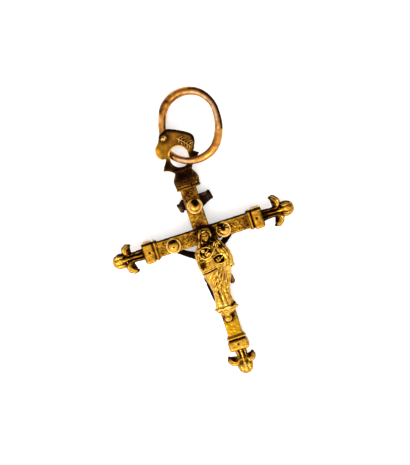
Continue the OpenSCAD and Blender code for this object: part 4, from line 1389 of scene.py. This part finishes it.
def robe_forms():
    """The forms of the robe, the neck, the veil's cloth, the sleeves and the console."""
    hx, hy = HEAD_AT
    bm = bmesh.new()
    loft(bm, ROBE)
    loft(bm, CONSOLE)
    raised(bm, [(hx, hy - 0.9, 0.9, 0.42), (0.35, -2.2, 0.95, 0.55)])
    # The cloth behind the head, and the end that hangs from the arm
    ball(bm, (hx + 0.06, hy + 0.15, FRONT_Z + 0.5), (1.38, 1.52, 0.78))
    raised(bm, *VEIL_FALLS)
    ball(bm, (3.95, -7.3, FRONT_Z + 0.55), (0.36, 0.34, 0.36))
    raised(bm, *ARMS, CRADLE, CUFF)
    # The console's foot
    rod(bm, (-0.3, -17.3, FRONT_Z + 0.17), 0.8, 0.75, 48, top=0.74)
    return bm


def model_head(bm):
    """Adds the head on plain proportions, with its features, hair and crown, and the veil's edge round it."""
    hx, hy = HEAD_AT
    ball(bm, (hx, hy + 0.1, FRONT_Z + 1.35), (0.8, 0.96, 0.86))
    ball(bm, (hx, hy - 0.38, FRONT_Z + 1.4), (0.57, 0.72, 0.66))
    ball(bm, (hx, hy - 0.86, FRONT_Z + 1.73), (0.2, 0.17, 0.2))
    raised(bm, [(hx, hy + 0.16, 2.02, 0.12), (hx, hy - 0.2, 2.2, 0.14)])
    for side in (-1, 1):
        ball(bm, (hx + side * 0.32, hy + 0.05, FRONT_Z + 1.92), (0.17, 0.12, 0.16))
        ball(bm, (hx + side * 0.4, hy - 0.32, FRONT_Z + 1.72), (0.24, 0.28, 0.26))
        # Locks of hair from the parting to the shoulder
        raised(bm, [(hx + side * 0.1, hy + 0.98, 1.6, 0.18), (hx + side * 0.58, hy + 0.72, 1.6, 0.2),
                    (hx + side * 0.86, hy + 0.2, 1.5, 0.2), (hx + side * 0.88, hy - 0.5, 1.35, 0.2),
                    (hx + side * 0.95, hy - 1.2, 1.2, 0.22)])
    raised(bm, VEIL_EDGE, CROWN)
    for x, y, z, r in CROWN[1:-1]:
        lean = 0.35 * (x - hx)
        raised(bm, [(x, y, z - 0.05, 0.1), (x + lean, y + 0.3, z - 0.16, 0.065)])


def fine_folds(count, depth, seed):
    """Fine creases between the robe's broad folds, scattered along its fall."""
    rng = np.random.default_rng(seed)
    right = smooth_line([(3.7, -5.2), (3.3, -7.4), (2.4, -9.4), (1.75, -11.6), (1.6, -13.2), (1.7, -14.8)])
    left = smooth_line([
        (-0.4, -7.4), (-1.3, -8.3), (-1.6, -9.4), (-1.55, -11.6), (-1.7, -13.2), (-1.9, -14.8)])
    strokes = []
    for _ in range(count):
        share = rng.uniform(0, 1)
        start = int(rng.integers(0, len(right) - 8))
        stop = start + int(rng.integers(5, 12))
        fall = (right * (1 - share) + left * share)[start:stop:3]
        if len(fall) > 1:
            strokes.append((fall, rng.uniform(0.07, 0.12), depth * rng.choice((-1.2, 1.0))))
    return strokes


def model_child(bm):
    """Adds the child in the crook of the arm, on plain proportions: a small figure in a shift."""
    # Head with hair, nose and chin
    ball(bm, (-1.0, -2.92, FRONT_Z + 1.58), (0.42, 0.46, 0.42))
    ball(bm, (-1.0, -2.8, FRONT_Z + 1.6), (0.45, 0.4, 0.4))
    ball(bm, (-0.98, -3.08, FRONT_Z + 1.76), (0.26, 0.26, 0.24))
    ball(bm, (-0.98, -3.02, FRONT_Z + 2.0), (0.07, 0.09, 0.07))
    # Body, drawn-up legs and feet
    raised(bm, [(-0.85, -3.5, 1.3, 0.34), (-0.6, -3.85, 1.35, 0.4)],
           [(-0.5, -3.95, 1.55, 0.26), (-0.02, -3.6, 1.75, 0.2), (0.3, -3.85, 1.65, 0.15)],
           [(-0.4, -4.05, 1.4, 0.24), (0.15, -4.0, 1.6, 0.19), (0.5, -3.7, 1.55, 0.13)])
    # Arms, one towards the shoulder and one in the lap
    raised(bm, [(-0.65, -3.42, 1.5, 0.18), (-0.25, -3.25, 1.62, 0.15), (0.05, -2.95, 1.6, 0.13)],
           [(-1.15, -3.55, 1.45, 0.18), (-1.4, -3.85, 1.55, 0.15), (-1.1, -4.05, 1.68, 0.14)])


def model_details(bm):
    """Adds the hand in the open sleeve, the gathered cloth, the console's buds, the hem and the toes."""
    raised(bm, [(2.5, -5.1, 1.45, 0.17), (2.16, -5.3, 1.55, 0.17)])
    ball(bm, (1.72, -5.5, FRONT_Z + 1.58), (0.3, 0.24, 0.2), (0, 0, 20))
    # Four fingers and a thumb
    for k in range(4):
        raised(bm, [(1.6 + 0.02 * k, -5.32 - 0.13 * k, 1.66, 0.09), (1.25, -5.22 - 0.19 * k, 1.74, 0.085),
                    (0.95 + 0.06 * k, -5.24 - 0.21 * k, 1.68, 0.075)])
    raised(bm, [(1.75, -5.25, 1.66, 0.09), (1.5, -4.98, 1.72, 0.08)], *GATHERS)
    for x, y, z, r in CONSOLE_BUDS:
        ball(bm, (x, y, FRONT_Z + z), r)
    raised(bm, HEM)
    for x in (0.0, 0.28, 0.56):
        ball(bm, (x, -15.32, FRONT_Z + 1.42), (0.17, 0.26, 0.18))


def figure_strokes():
    """Lines of the face, hair, veil, sleeves and mantle."""
    hx, hy = HEAD_AT
    strokes = [
        # Mouth and lips
        ([(hx - 0.22, hy - 0.56), (hx, hy - 0.58), (hx + 0.22, hy - 0.56)], 0.07, -0.09),
        ([(hx - 0.14, hy - 0.48), (hx, hy - 0.46), (hx + 0.14, hy - 0.48)], 0.07, 0.05),
        ([(hx - 0.12, hy - 0.67), (hx + 0.12, hy - 0.67)], 0.07, 0.05),
        # Slit under the mantle's edge, and the small notch on the right
        ([(-2.55, -7.5), (-1.5, -7.42), (-0.5, -7.25), (0.6, -7.0)], 0.13, -0.3),
        ([(-2.5, -7.25), (-1.4, -7.17), (-0.4, -7.0), (0.6, -6.75)], 0.15, 0.1),
        ([(3.35, -7.5), (3.9, -7.7)], 0.16, -0.25),
        # Right edge of the recess on the left hip
        ([(-1.1, -5.3), (-1.15, -6.2), (-1.05, -7.0)], 0.13, 0.08),
        # Ridges of the console
        ([(-1.8, -15.75), (-1.15, -16.4), (-0.95, -17.0)], 0.16, 0.08),
        ([(1.85, -15.75), (1.0, -16.4), (0.45, -17.0)], 0.16, 0.08),
        # Gap above the console's right corner
        ([(1.1, -14.95), (1.9, -14.8)], 0.16, -0.35),
    ]
    for side in (-1, 1):
        x = hx + side * 0.32
        # Brow, the lids of the eye and the side of the nose
        strokes += [
            ([(x - 0.2, hy + 0.24), (x, hy + 0.31), (x + 0.2, hy + 0.24)], 0.08, 0.06),
            ([(x - 0.2, hy + 0.14), (x, hy + 0.19), (x + 0.2, hy + 0.14)], 0.06, -0.09),
            ([(x - 0.17, hy - 0.05), (x, hy - 0.1), (x + 0.17, hy - 0.05)], 0.06, -0.08),
            ([(hx + side * 0.14, hy + 0.1), (hx + side * 0.17, hy - 0.2)], 0.07, -0.08),
            # Waves in the hair
            ([(hx + side * 0.3, hy + 0.9), (hx + side * 0.7, hy + 0.5), (hx + side * 0.8, hy - 0.1)],
             0.06, -0.08),
            ([(hx + side * 0.5, hy + 0.95), (hx + side * 0.9, hy + 0.45), (hx + side * 0.95, hy - 0.3),
              (hx + side * 0.95, hy - 1.1)], 0.06, -0.08),
        ]
    # Folds of the veil over the shoulders
    for k in range(3):
        strokes.append(([(1.8 + 0.25 * k, -0.9 - 0.2 * k), (2.6 + 0.25 * k, -3.0), (3.2 + 0.2 * k, -4.2),
                         (3.5 + 0.15 * k, -5.8)], 0.13, 0.12 if k % 2 else -0.14))
        strokes.append(([(-1.0 - 0.12 * k, -0.9), (-1.5 - 0.2 * k, -2.0), (-1.95 - 0.2 * k, -3.0),
                         (-2.2 - 0.2 * k, -4.8)], 0.11, 0.1 if k % 2 else -0.12))
    # Creases of the chest and of the cloth between the child and the sleeve
    for k in range(3):
        strokes.append(([(1.3 + 0.4 * k, -3.2 - 0.15 * k), (1.6 + 0.4 * k, -3.9 - 0.15 * k),
                         (1.9 + 0.5 * k, -4.4)], 0.12, 0.1 if k % 2 else -0.12))
        strokes.append(([(-0.6 + 0.5 * k, -5.5), (-0.4 + 0.45 * k, -6.2), (-0.5 + 0.4 * k, -6.7)],
                        0.13, 0.06 if k % 2 else -0.07))
    # Gathers of the cloth on the shoulder
    for k in range(3):
        strokes.append(([(1.95 + 0.2 * k, -1.95 + 0.06 * k), (2.1 + 0.18 * k, -2.6)], 0.07, -0.1))
    return strokes


def figure_lines():
    """Stained and rubbed lines of the front figure, with painted shade and painted highlights: points, half
    width, amount.
    """
    hx, hy = HEAD_AT
    # Painted shade round the veil's outside, between its edge and the hair and along the edge's top behind
    # the crown; the edge's sides are paler, and the crown has a painted highlight
    lines = [
        (arc(hx, hy + 0.2, 1.62, -30, 210), 0.28, 0.6),
        ([(x + (0.27 if x < hx else -0.27), y - 0.12) for x, y in plan(VEIL_EDGE[1:-1])], 0.12, 0.55),
        (plan(VEIL_EDGE[:4]), 0.12, -0.12), (plan(VEIL_EDGE[7:]), 0.12, -0.1),
        (plan(VEIL_EDGE[3:8]), 0.2, 0.2), (plan(CROWN), 0.12, -0.3)]
    # Painted shade down both sides of the hair and in both eyes
    for points, width, amount in (([(0.85, -0.9), (0.84, 0.2), (0.5, 0.8)], 0.14, 0.3),
                                  ([(0.42, 0.05), (0.22, 0.05)], 0.1, 0.4)):
        lines += [([(hx + side * x, hy + y) for x, y in points], width, amount) for side in (-1, 1)]
    # Dark mouth, painted shadow under the chin, the rubbed cloth round the child and dark slits under the
    # mantle
    return lines + [
        ([(hx - 0.18, hy - 0.57), (hx + 0.18, hy - 0.57)], 0.06, 0.4),
        (arc(hx, hy - 0.3, 0.95, -150, -30), 0.16, 0.45),
        (plan(CRADLE), 0.17, -0.26), ([(3.5, -7.55), (4.1, -7.6)], 0.16, 0.5),
        ([(-2.5, -7.5), (-1.5, -7.42), (-0.5, -7.25), (0.55, -7.02)], 0.09, 0.5)]


def make_front_figure():
    """The robed figure with the child and its console, cast in one piece and chased."""
    body = fuse(robe_forms(), "Front_figure", fine=0.07, soften=2)
    chase(body, ROBE_HOLLOWS, taper=12)
    # A second, finer skin takes in the head, the child and the hands
    again = reopened(body)
    model_head(again)
    model_child(again)
    model_details(again)
    piece = fuse(again, "Front_figure", fine=0.055, soften=2)
    fold_height = sizes().fold_height
    chase(piece, [(line, width, share * fold_height) for width, share, line in ROBE_FOLDS])
    chase(piece, figure_strokes() + fine_folds(64, 0.055, 54)
          + worn_marks((-2.2, -16.9), (3.2, -4.9), 160, 0.035, 52))
    pit(piece, [(0.6, 0.035), (0.25, 0.022)], seed=3)
    cut_flat(piece, FIGURE_Z, keep_above=True)
    mark_hollows(piece, [(6, 0.055, 0.55), (30, 0.26, 0.75)])
    mark_tarnish_and_light(piece, FIGURE_SPOTS, figure_lines(), blotch=(0.7, 0.2), sides=0.12, down=0.3)
    lighten(piece, most=190000)
    finish(piece, cast_gold(), "cast_gold", "madonna")


# Back figure, which faces down

# Arms, legs, neck and loincloth: x, y, height above the surface and radius at each joint
BACK_FORMS = [
    [(-6.5, -0.9, 1.42, 0.72), (-4.7, -2.45, 1.4, 0.6), (-2.3, -4.0, 1.3, 0.8)],
    [(4.3, -0.5, 1.42, 0.66), (5.3, -1.1, 1.42, 0.72), (3.7, -2.5, 1.4, 0.6), (1.3, -4.0, 1.3, 0.8)],
    [(-1.6, -10.0, 1.1, 0.92), (-1.4, -13.0, 0.95, 0.76), (-0.8, -16.3, 1.35, 0.46),
     (-0.5, -17.4, 1.25, 0.54)],
    [(0.5, -10.2, 1.1, 0.88), (0.3, -13.2, 1.0, 0.76), (-0.2, -16.3, 1.35, 0.46),
     (-0.1, -17.5, 1.25, 0.54)],
    [(-0.7, -2.9, 1.4, 0.5), (-0.5, -3.8, 1.3, 0.7)],
    [(-1.7, -8.9, 1.1, 0.95), (-0.5, -9.3, 0.98, 0.95), (0.9, -9.6, 1.1, 0.9), (2.5, -9.7, 1.35, 0.63),
     (2.7, -10.7, 1.4, 0.58)],
]
# The body's middle line, and the head, which leans to its side
BACK_X = -0.5
BACK_HEAD_AT = (-0.78, -2.1)


def back_head(bm):
    """Adds the back figure's leaning head, with hair, beard, brow and nose on plain proportions."""
    hx, hy = BACK_HEAD_AT
    ball(bm, (hx, hy + 0.18, 1.2), (0.7, 0.82, 0.8))
    ball(bm, (hx, hy - 0.28, 1.08), (0.5, 0.66, 0.6))
    limb(bm, [(hx, hy + 0.1, 0.48, 0.08), (hx, hy - 0.2, 0.4, 0.1)])
    # Beard and moustache
    ball(bm, (hx, hy - 0.85, 0.98), (0.38, 0.42, 0.42))
    for side in (-1, 1):
        ball(bm, (hx + side * 0.27, hy - 0.2, 0.68), (0.18, 0.22, 0.18))
        ball(bm, (hx + side * 0.25, hy + 0.06, 0.56), (0.15, 0.09, 0.1))
        limb(bm, [(hx + side * 0.04, hy - 0.38, 0.5, 0.07), (hx + side * 0.26, hy - 0.52, 0.6, 0.06)])
        limb(bm, [(hx + side * 0.1, hy + 0.26, 0.5, 0.06), (hx + side * 0.38, hy + 0.22, 0.6, 0.06)])
        # Hair from the crown of the head over the ears to the shoulders
        limb(bm, [(hx + side * 0.15, hy + 0.82, 0.95, 0.24), (hx + side * 0.58, hy + 0.5, 0.95, 0.28),
                  (hx + side * 0.74, hy - 0.1, 1.15, 0.28), (hx + side * 0.78, hy - 0.8, 1.3, 0.28),
                  (hx + side * 0.86, hy - 1.45, 1.35, 0.26)])
    # Twisted band round the head
    limb(bm, [(hx - 0.66, hy + 0.42, 0.85, 0.11), (hx - 0.36, hy + 0.5, 0.56, 0.11),
              (hx, hy + 0.54, 0.46, 0.11), (hx + 0.36, hy + 0.5, 0.56, 0.11),
              (hx + 0.66, hy + 0.42, 0.85, 0.11)])


def back_forms():
    """The forms of the back figure."""
    bm = bmesh.new()
    for path in BACK_FORMS:
        limb(bm, path)
    # Chest, shoulders, ribs, waist and hips
    ball(bm, (BACK_X, -4.75, 1.2), (1.72, 1.15, 0.92))
    for side in (-1, 1):
        ball(bm, (BACK_X + side * 0.78, -4.75, 0.72), (0.86, 0.68, 0.42), (0, 0, side * 12))
        ball(bm, (BACK_X + side * 1.85, -4.25, 1.2), (0.7, 0.66, 0.68))
        limb(bm, [(BACK_X + side * 0.85, -5.6, 1.05, 0.5), (BACK_X + side * 0.75, -6.7, 1.15, 0.42)])
    ball(bm, (BACK_X, -5.9, 1.15), (1.35, 1.2, 0.8))
    ball(bm, (BACK_X, -7.3, 1.15), (1.02, 1.1, 0.72))
    ball(bm, (-0.45, -9.1, 1.15), (1.7, 1.2, 0.95))
    back_head(bm)
    # Toes of the feet, which lie one over the other
    for k in range(4):
        ball(bm, (-0.62 + 0.17 * k, -17.95 + 0.03 * k, 0.9), (0.1, 0.16, 0.12))
    return bm


def back_strokes():
    """Lines of the back figure's face, hair, ribs, loincloth and fingers."""
    hx, hy = BACK_HEAD_AT
    strokes = [
        # Eyes and mouth
        ([(hx - 0.4, hy - 0.01), (hx - 0.25, hy - 0.04), (hx - 0.12, hy - 0.01)], 0.06, -0.06),
        ([(hx + 0.12, hy - 0.01), (hx + 0.25, hy - 0.04), (hx + 0.4, hy - 0.01)], 0.06, -0.06),
        ([(hx - 0.14, hy - 0.56), (hx + 0.14, hy - 0.56)], 0.06, -0.07),
        # Breastbone, ribs and belly
        ([(-0.5, -4.2), (-0.5, -5.8)], 0.16, -0.1),
        ([(-1.5, -5.9), (-0.9, -5.5), (-0.5, -5.4), (-0.1, -5.5), (0.5, -5.9)], 0.14, -0.12),
        ([(-0.5, -7.55), (-0.5, -7.65)], 0.12, -0.12),
        ([(-1.15, -7.9), (-0.5, -8.15), (0.15, -7.9)], 0.12, -0.08),
        # Knees
        ([(-1.4, -12.7), (-1.35, -13.2)], 0.3, 0.1),
        ([(0.3, -12.9), (0.25, -13.4)], 0.3, 0.1),
    ]
    for k in range(4):
        for side in (-1, 1):
            rib = [(BACK_X + side * 0.35, -4.75 - 0.33 * k), (BACK_X + side * 1.25, -4.95 - 0.3 * k)]
            strokes.append((rib, 0.08, -0.06))
        strokes.append(([(-2.2, -8.6 - 0.35 * k), (-0.6, -9.1 - 0.3 * k), (1.2, -9.2 - 0.25 * k),
                         (2.4, -9.5 - 0.1 * k)], 0.11, -0.12))
    for k in range(3):
        strokes.append(([(2.3 + 0.25 * k, -9.7), (2.4 + 0.25 * k, -11.0)], 0.08, -0.1))
        for side in (-1, 1):
            lock = ((0.35 + 0.17 * k, 0.75), (0.58 + 0.16 * k, -0.1), (0.62 + 0.17 * k, -1.3))
            strokes.append(([(hx + side * x, hy + y) for x, y in lock], 0.06, -0.09))
        # Beard, turns of the band, and the fingers beside the rivets
        strokes.append(([(hx - 0.18 + 0.18 * k, hy - 0.68), (hx - 0.14 + 0.14 * k, hy - 1.15)], 0.06, -0.07))
        strokes.append(([(hx - 0.42 + 0.4 * k, hy + 0.42), (hx - 0.3 + 0.4 * k, hy + 0.64)], 0.06, -0.08))
        strokes += [
            ([(-6.35 - 0.22 * k, -1.15 + 0.16 * k), (-6.75 - 0.18 * k, -0.75 + 0.16 * k)], 0.08, -0.1),
            ([(4.75 + 0.28 * k, -0.35 - 0.18 * k), (5.2 + 0.24 * k, -0.75 - 0.18 * k)], 0.08, -0.1)]
    return strokes


def bore(piece, at, radius, top):
    """Drills a hole from below up to a height."""
    bm = bmesh.new()
    rod(bm, (*at, (top - 1) / 2), radius, top + 1, 40)
    cut_away(piece, to_object(bm, "Drill"))


def make_back_figure():
    """The figure on the back, with room for the rivets' heads and shanks."""
    piece = fuse(back_forms(), "Back_figure", fine=0.06, soften=2)
    chase(piece, back_strokes(), facing=-1)
    pit(piece, [(0.6, 0.03), (0.25, 0.02)], seed=4)
    cut_flat(piece, BACK_Z - GAP, keep_above=False)
    cut_flat(piece, box_mm("corpus")[0].z, keep_above=True)
    for cad_node in ("boss_left", "boss_right", "foot_rivet"):
        bore(piece, middle_of(cad_node), BACK_HEAD_R + GAP, BACK_HEAD_H + GAP)
        bore(piece, middle_of(cad_node), SHANK_R + GAP, BACK_Z + 1)
    mark_hollows(piece)
    # Painted shade on the faces that look up, and the loincloth's end paler
    mark_upper_side(piece, 0.05, 0.9, [(2.95, -10.1, 0.65, 1.7, -0.75)])
    lighten(piece, most=120000)
    finish(piece, dark_gold(), "dark_gold", "corpus")


# Title scroll

SCROLL_Z = 1.0
# Outline seen from the front
SCROLL_PLAN = [
    (-2.9, 5.4), (-2.6, 5.9), (-1.9, 5.7), (-0.5, 5.2), (1.5, 5.2), (2.8, 5.9), (3.7, 6.3), (4.1, 7.4),
    (3.9, 8.2), (3.0, 8.1), (1.6, 8.1), (0.2, 7.7), (-1.2, 7.7), (-2.0, 8.0), (-2.7, 7.4), (-3.1, 6.3),
]
# The rolled ends: x, y and how far they lean, in degrees
SCROLL_ENDS = [(-2.75, 6.35, 22), (3.75, 7.3, 14)]
# Stains of both sides: x, y, half width, half height, amount
SCROLL_SPOTS = [(-2.8, 6.3, 0.6, 1.0, -0.16), (2.6, 6.9, 0.5, 0.7, -0.1), (3.7, 7.9, 0.8, 0.5, 0.2)]


def make_title_scroll():
    """The bare title scroll behind the upper arm, with shallow waves and rolled ends."""
    bm = bmesh.new()
    top = BACK_Z - GAP
    face = bm.faces.new([bm.verts.new((x, y, SCROLL_Z)) for x, y in SCROLL_PLAN])
    grown = bmesh.ops.extrude_face_region(bm, geom=[face])
    bmesh.ops.translate(bm, verts=[v for v in grown["geom"] if isinstance(v, bmesh.types.BMVert)],
                        vec=(0, 0, top - SCROLL_Z))
    bmesh.ops.recalc_face_normals(bm, faces=bm.faces[:])
    for x, y, lean in SCROLL_ENDS:
        a = math.radians(lean)
        reach = Vector((math.sin(a), -math.cos(a), 0)) * -0.72
        middle = Vector((x, y, SCROLL_Z + 0.2))
        limb(bm, [(*(middle + reach), 0.36), (*(middle - reach), 0.36)])
        # The outer edge of the roll
        rise = Vector((0, 0, 0.45))
        limb(bm, [(*(middle + reach * 0.9 + rise), 0.2), (*(middle - reach * 0.9 + rise), 0.2)])
    piece = fuse(bm, "Title_scroll", fine=0.055, soften=3)
    waves = [([(-2.5, 6.3 + 0.5 * k), (-0.5, 5.9 + 0.5 * k), (1.5, 6.1 + 0.5 * k), (3.2, 6.7 + 0.4 * k)],
              0.12, -0.07) for k in range(3)]
    for facing in (1, -1):
        chase(piece, waves, facing)
    pit(piece, [(0.9, 0.05)], seed=6)
    cut_flat(piece, top, keep_above=False)
    bore(piece, middle_of("boss_top"), SHANK_R + GAP, BACK_Z + 1)
    mark_hollows(piece)
    # Painted shade on the faces that look up, and the scroll's own spots
    mark_upper_side(piece, 0.2, 0.46, SCROLL_SPOTS)
    finish(piece, scroll_gold(), "dark_gold", "title_scroll")


# Stage


def turned(across, up):
    """A direction in the photograph, right and up, as a direction on the floor."""
    a = math.radians(CROSS_ROLL)
    return Vector((across * math.cos(a) + up * math.sin(a), up * math.cos(a) - across * math.sin(a), 0))


def make_camera():
    """A camera far above the pendant, whose frame is the photograph's."""
    s = sizes()
    aim = Vector((0, CROSS_Y, FRONT_Z))
    aim += turned(PHOTO_W / 2 - CROSSING_PX[0], CROSSING_PX[1] - PHOTO_H / 2) * MM_PER_PX
    toward = turned(0, 1) * math.sin(s.camera_tilt) + Vector((0, 0, math.cos(s.camera_tilt)))
    up = turned(0, 1)
    data = bpy.data.cameras.new("Camera")
    camera = bpy.data.objects.new("Camera", data)
    bpy.context.scene.collection.objects.link(camera)
    back = toward.normalized()
    right = up.cross(back).normalized()
    top = back.cross(right)
    turn = Matrix((right, top, back)).transposed()
    camera.matrix_world = Matrix.LocRotScale((aim + back * s.camera_far) * MM, turn.to_quaternion(), None)
    # The sensor's width is the photograph's long side
    data.sensor_width = 36
    data.lens = data.sensor_width * s.camera_far / (PHOTO_H * MM_PER_PX)
    data.clip_start, data.clip_end = 0.01, 10
    bpy.context.scene.camera = camera


def soft_light(name, place, size, watts):
    """A square soft light that faces the crossing. Its place is right, up and above, in metres."""
    data = bpy.data.lights.new(name, "AREA")
    data.shape = "SQUARE"
    data.size = size
    data.energy = watts
    light = bpy.data.objects.new(name, data)
    bpy.context.scene.collection.objects.link(light)
    light.location = turned(place[0], place[1]) + Vector((0, 0, place[2]))
    light.rotation_mode = "QUATERNION"
    light.rotation_quaternion = light.location.to_track_quat("Z", "Y")


def make_world():
    """Soft surroundings, dark past the top of the photograph and pale past its bottom."""
    world = bpy.data.worlds.new("Studio")
    bpy.context.scene.world = world
    world.use_nodes = True
    tree = world.node_tree
    tree.nodes.clear()
    direction = node(tree, "ShaderNodeTexCoord").outputs["Generated"]
    low = turned(0, -1)
    level = node(tree, "ShaderNodeVectorMath", {0: direction, 1: (low.x * 0.5, low.y * 0.5, 0.35)},
                 operation="DOT_PRODUCT").outputs["Value"]
    share = node(tree, "ShaderNodeMath", {0: level, 1: 0.35}, use_clamp=True).outputs["Value"]
    shade = node(tree, "ShaderNodeValToRGB", {"Fac": share})
    set_ramp(shade, [
        (0.0, "#1E1E1E"), (0.24, "#666666"), (0.48, "#B0B0B0"), (0.7, "#D0D0D0"), (0.95, "#FFFFFF")])
    ground = node(tree, "ShaderNodeBackground", {"Color": shade.outputs["Color"], "Strength": 2.4})
    node(tree, "ShaderNodeOutputWorld", {"Surface": ground.outputs["Background"]})


def floor_paper():
    """Matt white paper with a very slight tooth, lit a little from beneath."""
    material = bpy.data.materials.new("White_paper")
    material.use_nodes = True
    tree = material.node_tree
    tree.nodes.clear()
    place = node(tree, "ShaderNodeTexCoord").outputs["Object"]
    tooth = node(tree, "ShaderNodeTexNoise", {"Vector": place, "Scale": 1 / (0.6 * MM)}).outputs["Fac"]
    relief = node(tree, "ShaderNodeBump", {"Height": tooth, "Strength": 0.05, "Distance": 0.02 * MM})
    shader = node(tree, "ShaderNodeBsdfPrincipled", {
        "Base Color": linear(colours().floor), "Roughness": 0.9, "Normal": relief.outputs["Normal"],
        "Emission Color": linear("#FFFFFF"), "Emission Strength": 0.36})
    node(tree, "ShaderNodeOutputMaterial", {"Surface": shader.outputs["BSDF"]})
    return material


def make_floor():
    """The paper that the pendant lies on, 3 m wide."""
    bm = bmesh.new()
    bmesh.ops.create_grid(bm, x_segments=2, y_segments=2, size=1.5)
    floor = to_object(bm, "Floor")
    floor.data.materials.append(floor_paper())


# Operators


class PENDANT_OT_bars(bpy.types.Operator):
    """Models the crossbar and the upright with their engraved scrolls"""
    bl_idname = "pendant.bars"
    bl_label = "Bars"

    def execute(self, context):
        make_bars()
        return {"FINISHED"}


class PENDANT_OT_end_caps(bpy.types.Operator):
    """Models the three end caps and their pins"""
    bl_idname = "pendant.end_caps"
    bl_label = "End caps"

    def execute(self, context):
        make_cap("left", 180, SIDE_REACH, BLOCK_W, 3.4, 3.1, LEFT_PETALS, seed=11, top=-1,
                 rub=0.1, seam=0.12, bulb_rub=0.16, petal_dirt=0.1)
        make_cap("right", 0, SIDE_REACH, BLOCK_W, 3.4, 3.1, RIGHT_PETALS, seed=12, top=1, ridges=4,
                 dirt=0.72, rub=0.0, seam=0.4, bulb_rub=-0.03, petal_dirt=0.28)
        make_cap("bottom", -90, LOWER_REACH, BLOCK_W - 0.3, 2.3, 2.8, BOTTOM_PETALS, seed=13,
                 dirt=0.06, rub=0.26, seam=0.62, bulb_rub=0.08, petal_dirt=0.18, middle=0.27)
        for side in ("left", "right", "bottom"):
            make_pin(side)
        return {"FINISHED"}


class PENDANT_OT_hanging_eye(bpy.types.Operator):
    """Models the top cap, the neck, the pierced eye and its lobe"""
    bl_idname = "pendant.hanging_eye"
    bl_label = "Hanging eye"

    def execute(self, context):
        make_hanging_eye()
        return {"FINISHED"}


class PENDANT_OT_jump_ring(bpy.types.Operator):
    """Models the closed jump ring"""
    bl_idname = "pendant.jump_ring"
    bl_label = "Jump ring"

    def execute(self, context):
        make_jump_ring()
        return {"FINISHED"}


class PENDANT_OT_rivets(bpy.types.Operator):
    """Models the three domed rivets and the small one under the console"""
    bl_idname = "pendant.rivets"
    bl_label = "Rivets"

    def execute(self, context):
        make_rivets()
        return {"FINISHED"}


class PENDANT_OT_front_figure(bpy.types.Operator):
    """Models the robed figure with the child, and its console"""
    bl_idname = "pendant.front_figure"
    bl_label = "Front figure"

    def execute(self, context):
        make_front_figure()
        return {"FINISHED"}


class PENDANT_OT_back(bpy.types.Operator):
    """Models the figure and the scroll on the back"""
    bl_idname = "pendant.back"
    bl_label = "Back figure and scroll"

    def execute(self, context):
        make_back_figure()
        make_title_scroll()
        return {"FINISHED"}


class PENDANT_OT_stage(bpy.types.Operator):
    """Sets up the floor, the lights and the camera, and finishes the hidden post"""
    bl_idname = "pendant.stage"
    bl_label = "Stage"

    def execute(self, context):
        make_floor()
        make_world()
        soft_light("Softbox", place=(-0.14, -0.42, 0.5), size=0.22, watts=1.3)
        make_camera()
        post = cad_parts["madonna_post"]
        post.data.materials.clear()
        post.data.materials.append(worn_gold())
        context.scene.view_settings.view_transform = "Standard"
        return {"FINISHED"}


PIECES = ("bars", "end_caps", "hanging_eye", "jump_ring", "rivets", "front_figure", "back")


class PENDANT_PT_panel(bpy.types.Panel):
    """Lists the pendant's pieces, sizes and colours"""
    bl_label = "Pendant"
    bl_space_type = "VIEW_3D"
    bl_region_type = "UI"
    bl_category = "Pendant"

    def draw(self, context):
        for name in (*PIECES, "stage"):
            self.layout.operator(f"pendant.{name}")
        for group in (context.scene.pendant_sizes, context.scene.pendant_colours):
            box = self.layout.box()
            for key in group.__annotations__:
                box.prop(group, key)


CLASSES = (
    PendantSizes, PendantColours, PENDANT_OT_bars, PENDANT_OT_end_caps, PENDANT_OT_hanging_eye,
    PENDANT_OT_jump_ring, PENDANT_OT_rivets, PENDANT_OT_front_figure, PENDANT_OT_back, PENDANT_OT_stage,
    PENDANT_PT_panel,
)


def register():
    """Adds the pendant's settings, operators and panel."""
    for cls in CLASSES:
        bpy.utils.register_class(cls)
    bpy.types.Scene.pendant_sizes = bpy.props.PointerProperty(type=PendantSizes)
    bpy.types.Scene.pendant_colours = bpy.props.PointerProperty(type=PendantColours)


def unregister():
    """Takes away what register adds."""
    del bpy.types.Scene.pendant_colours
    del bpy.types.Scene.pendant_sizes
    for cls in reversed(CLASSES):
        bpy.utils.unregister_class(cls)


def main():
    """Makes every piece and the stage."""
    register()
    for name in PIECES:
        getattr(bpy.ops.pendant, name)()
    bpy.ops.pendant.stage()


if __name__ == "__main__":
    main()
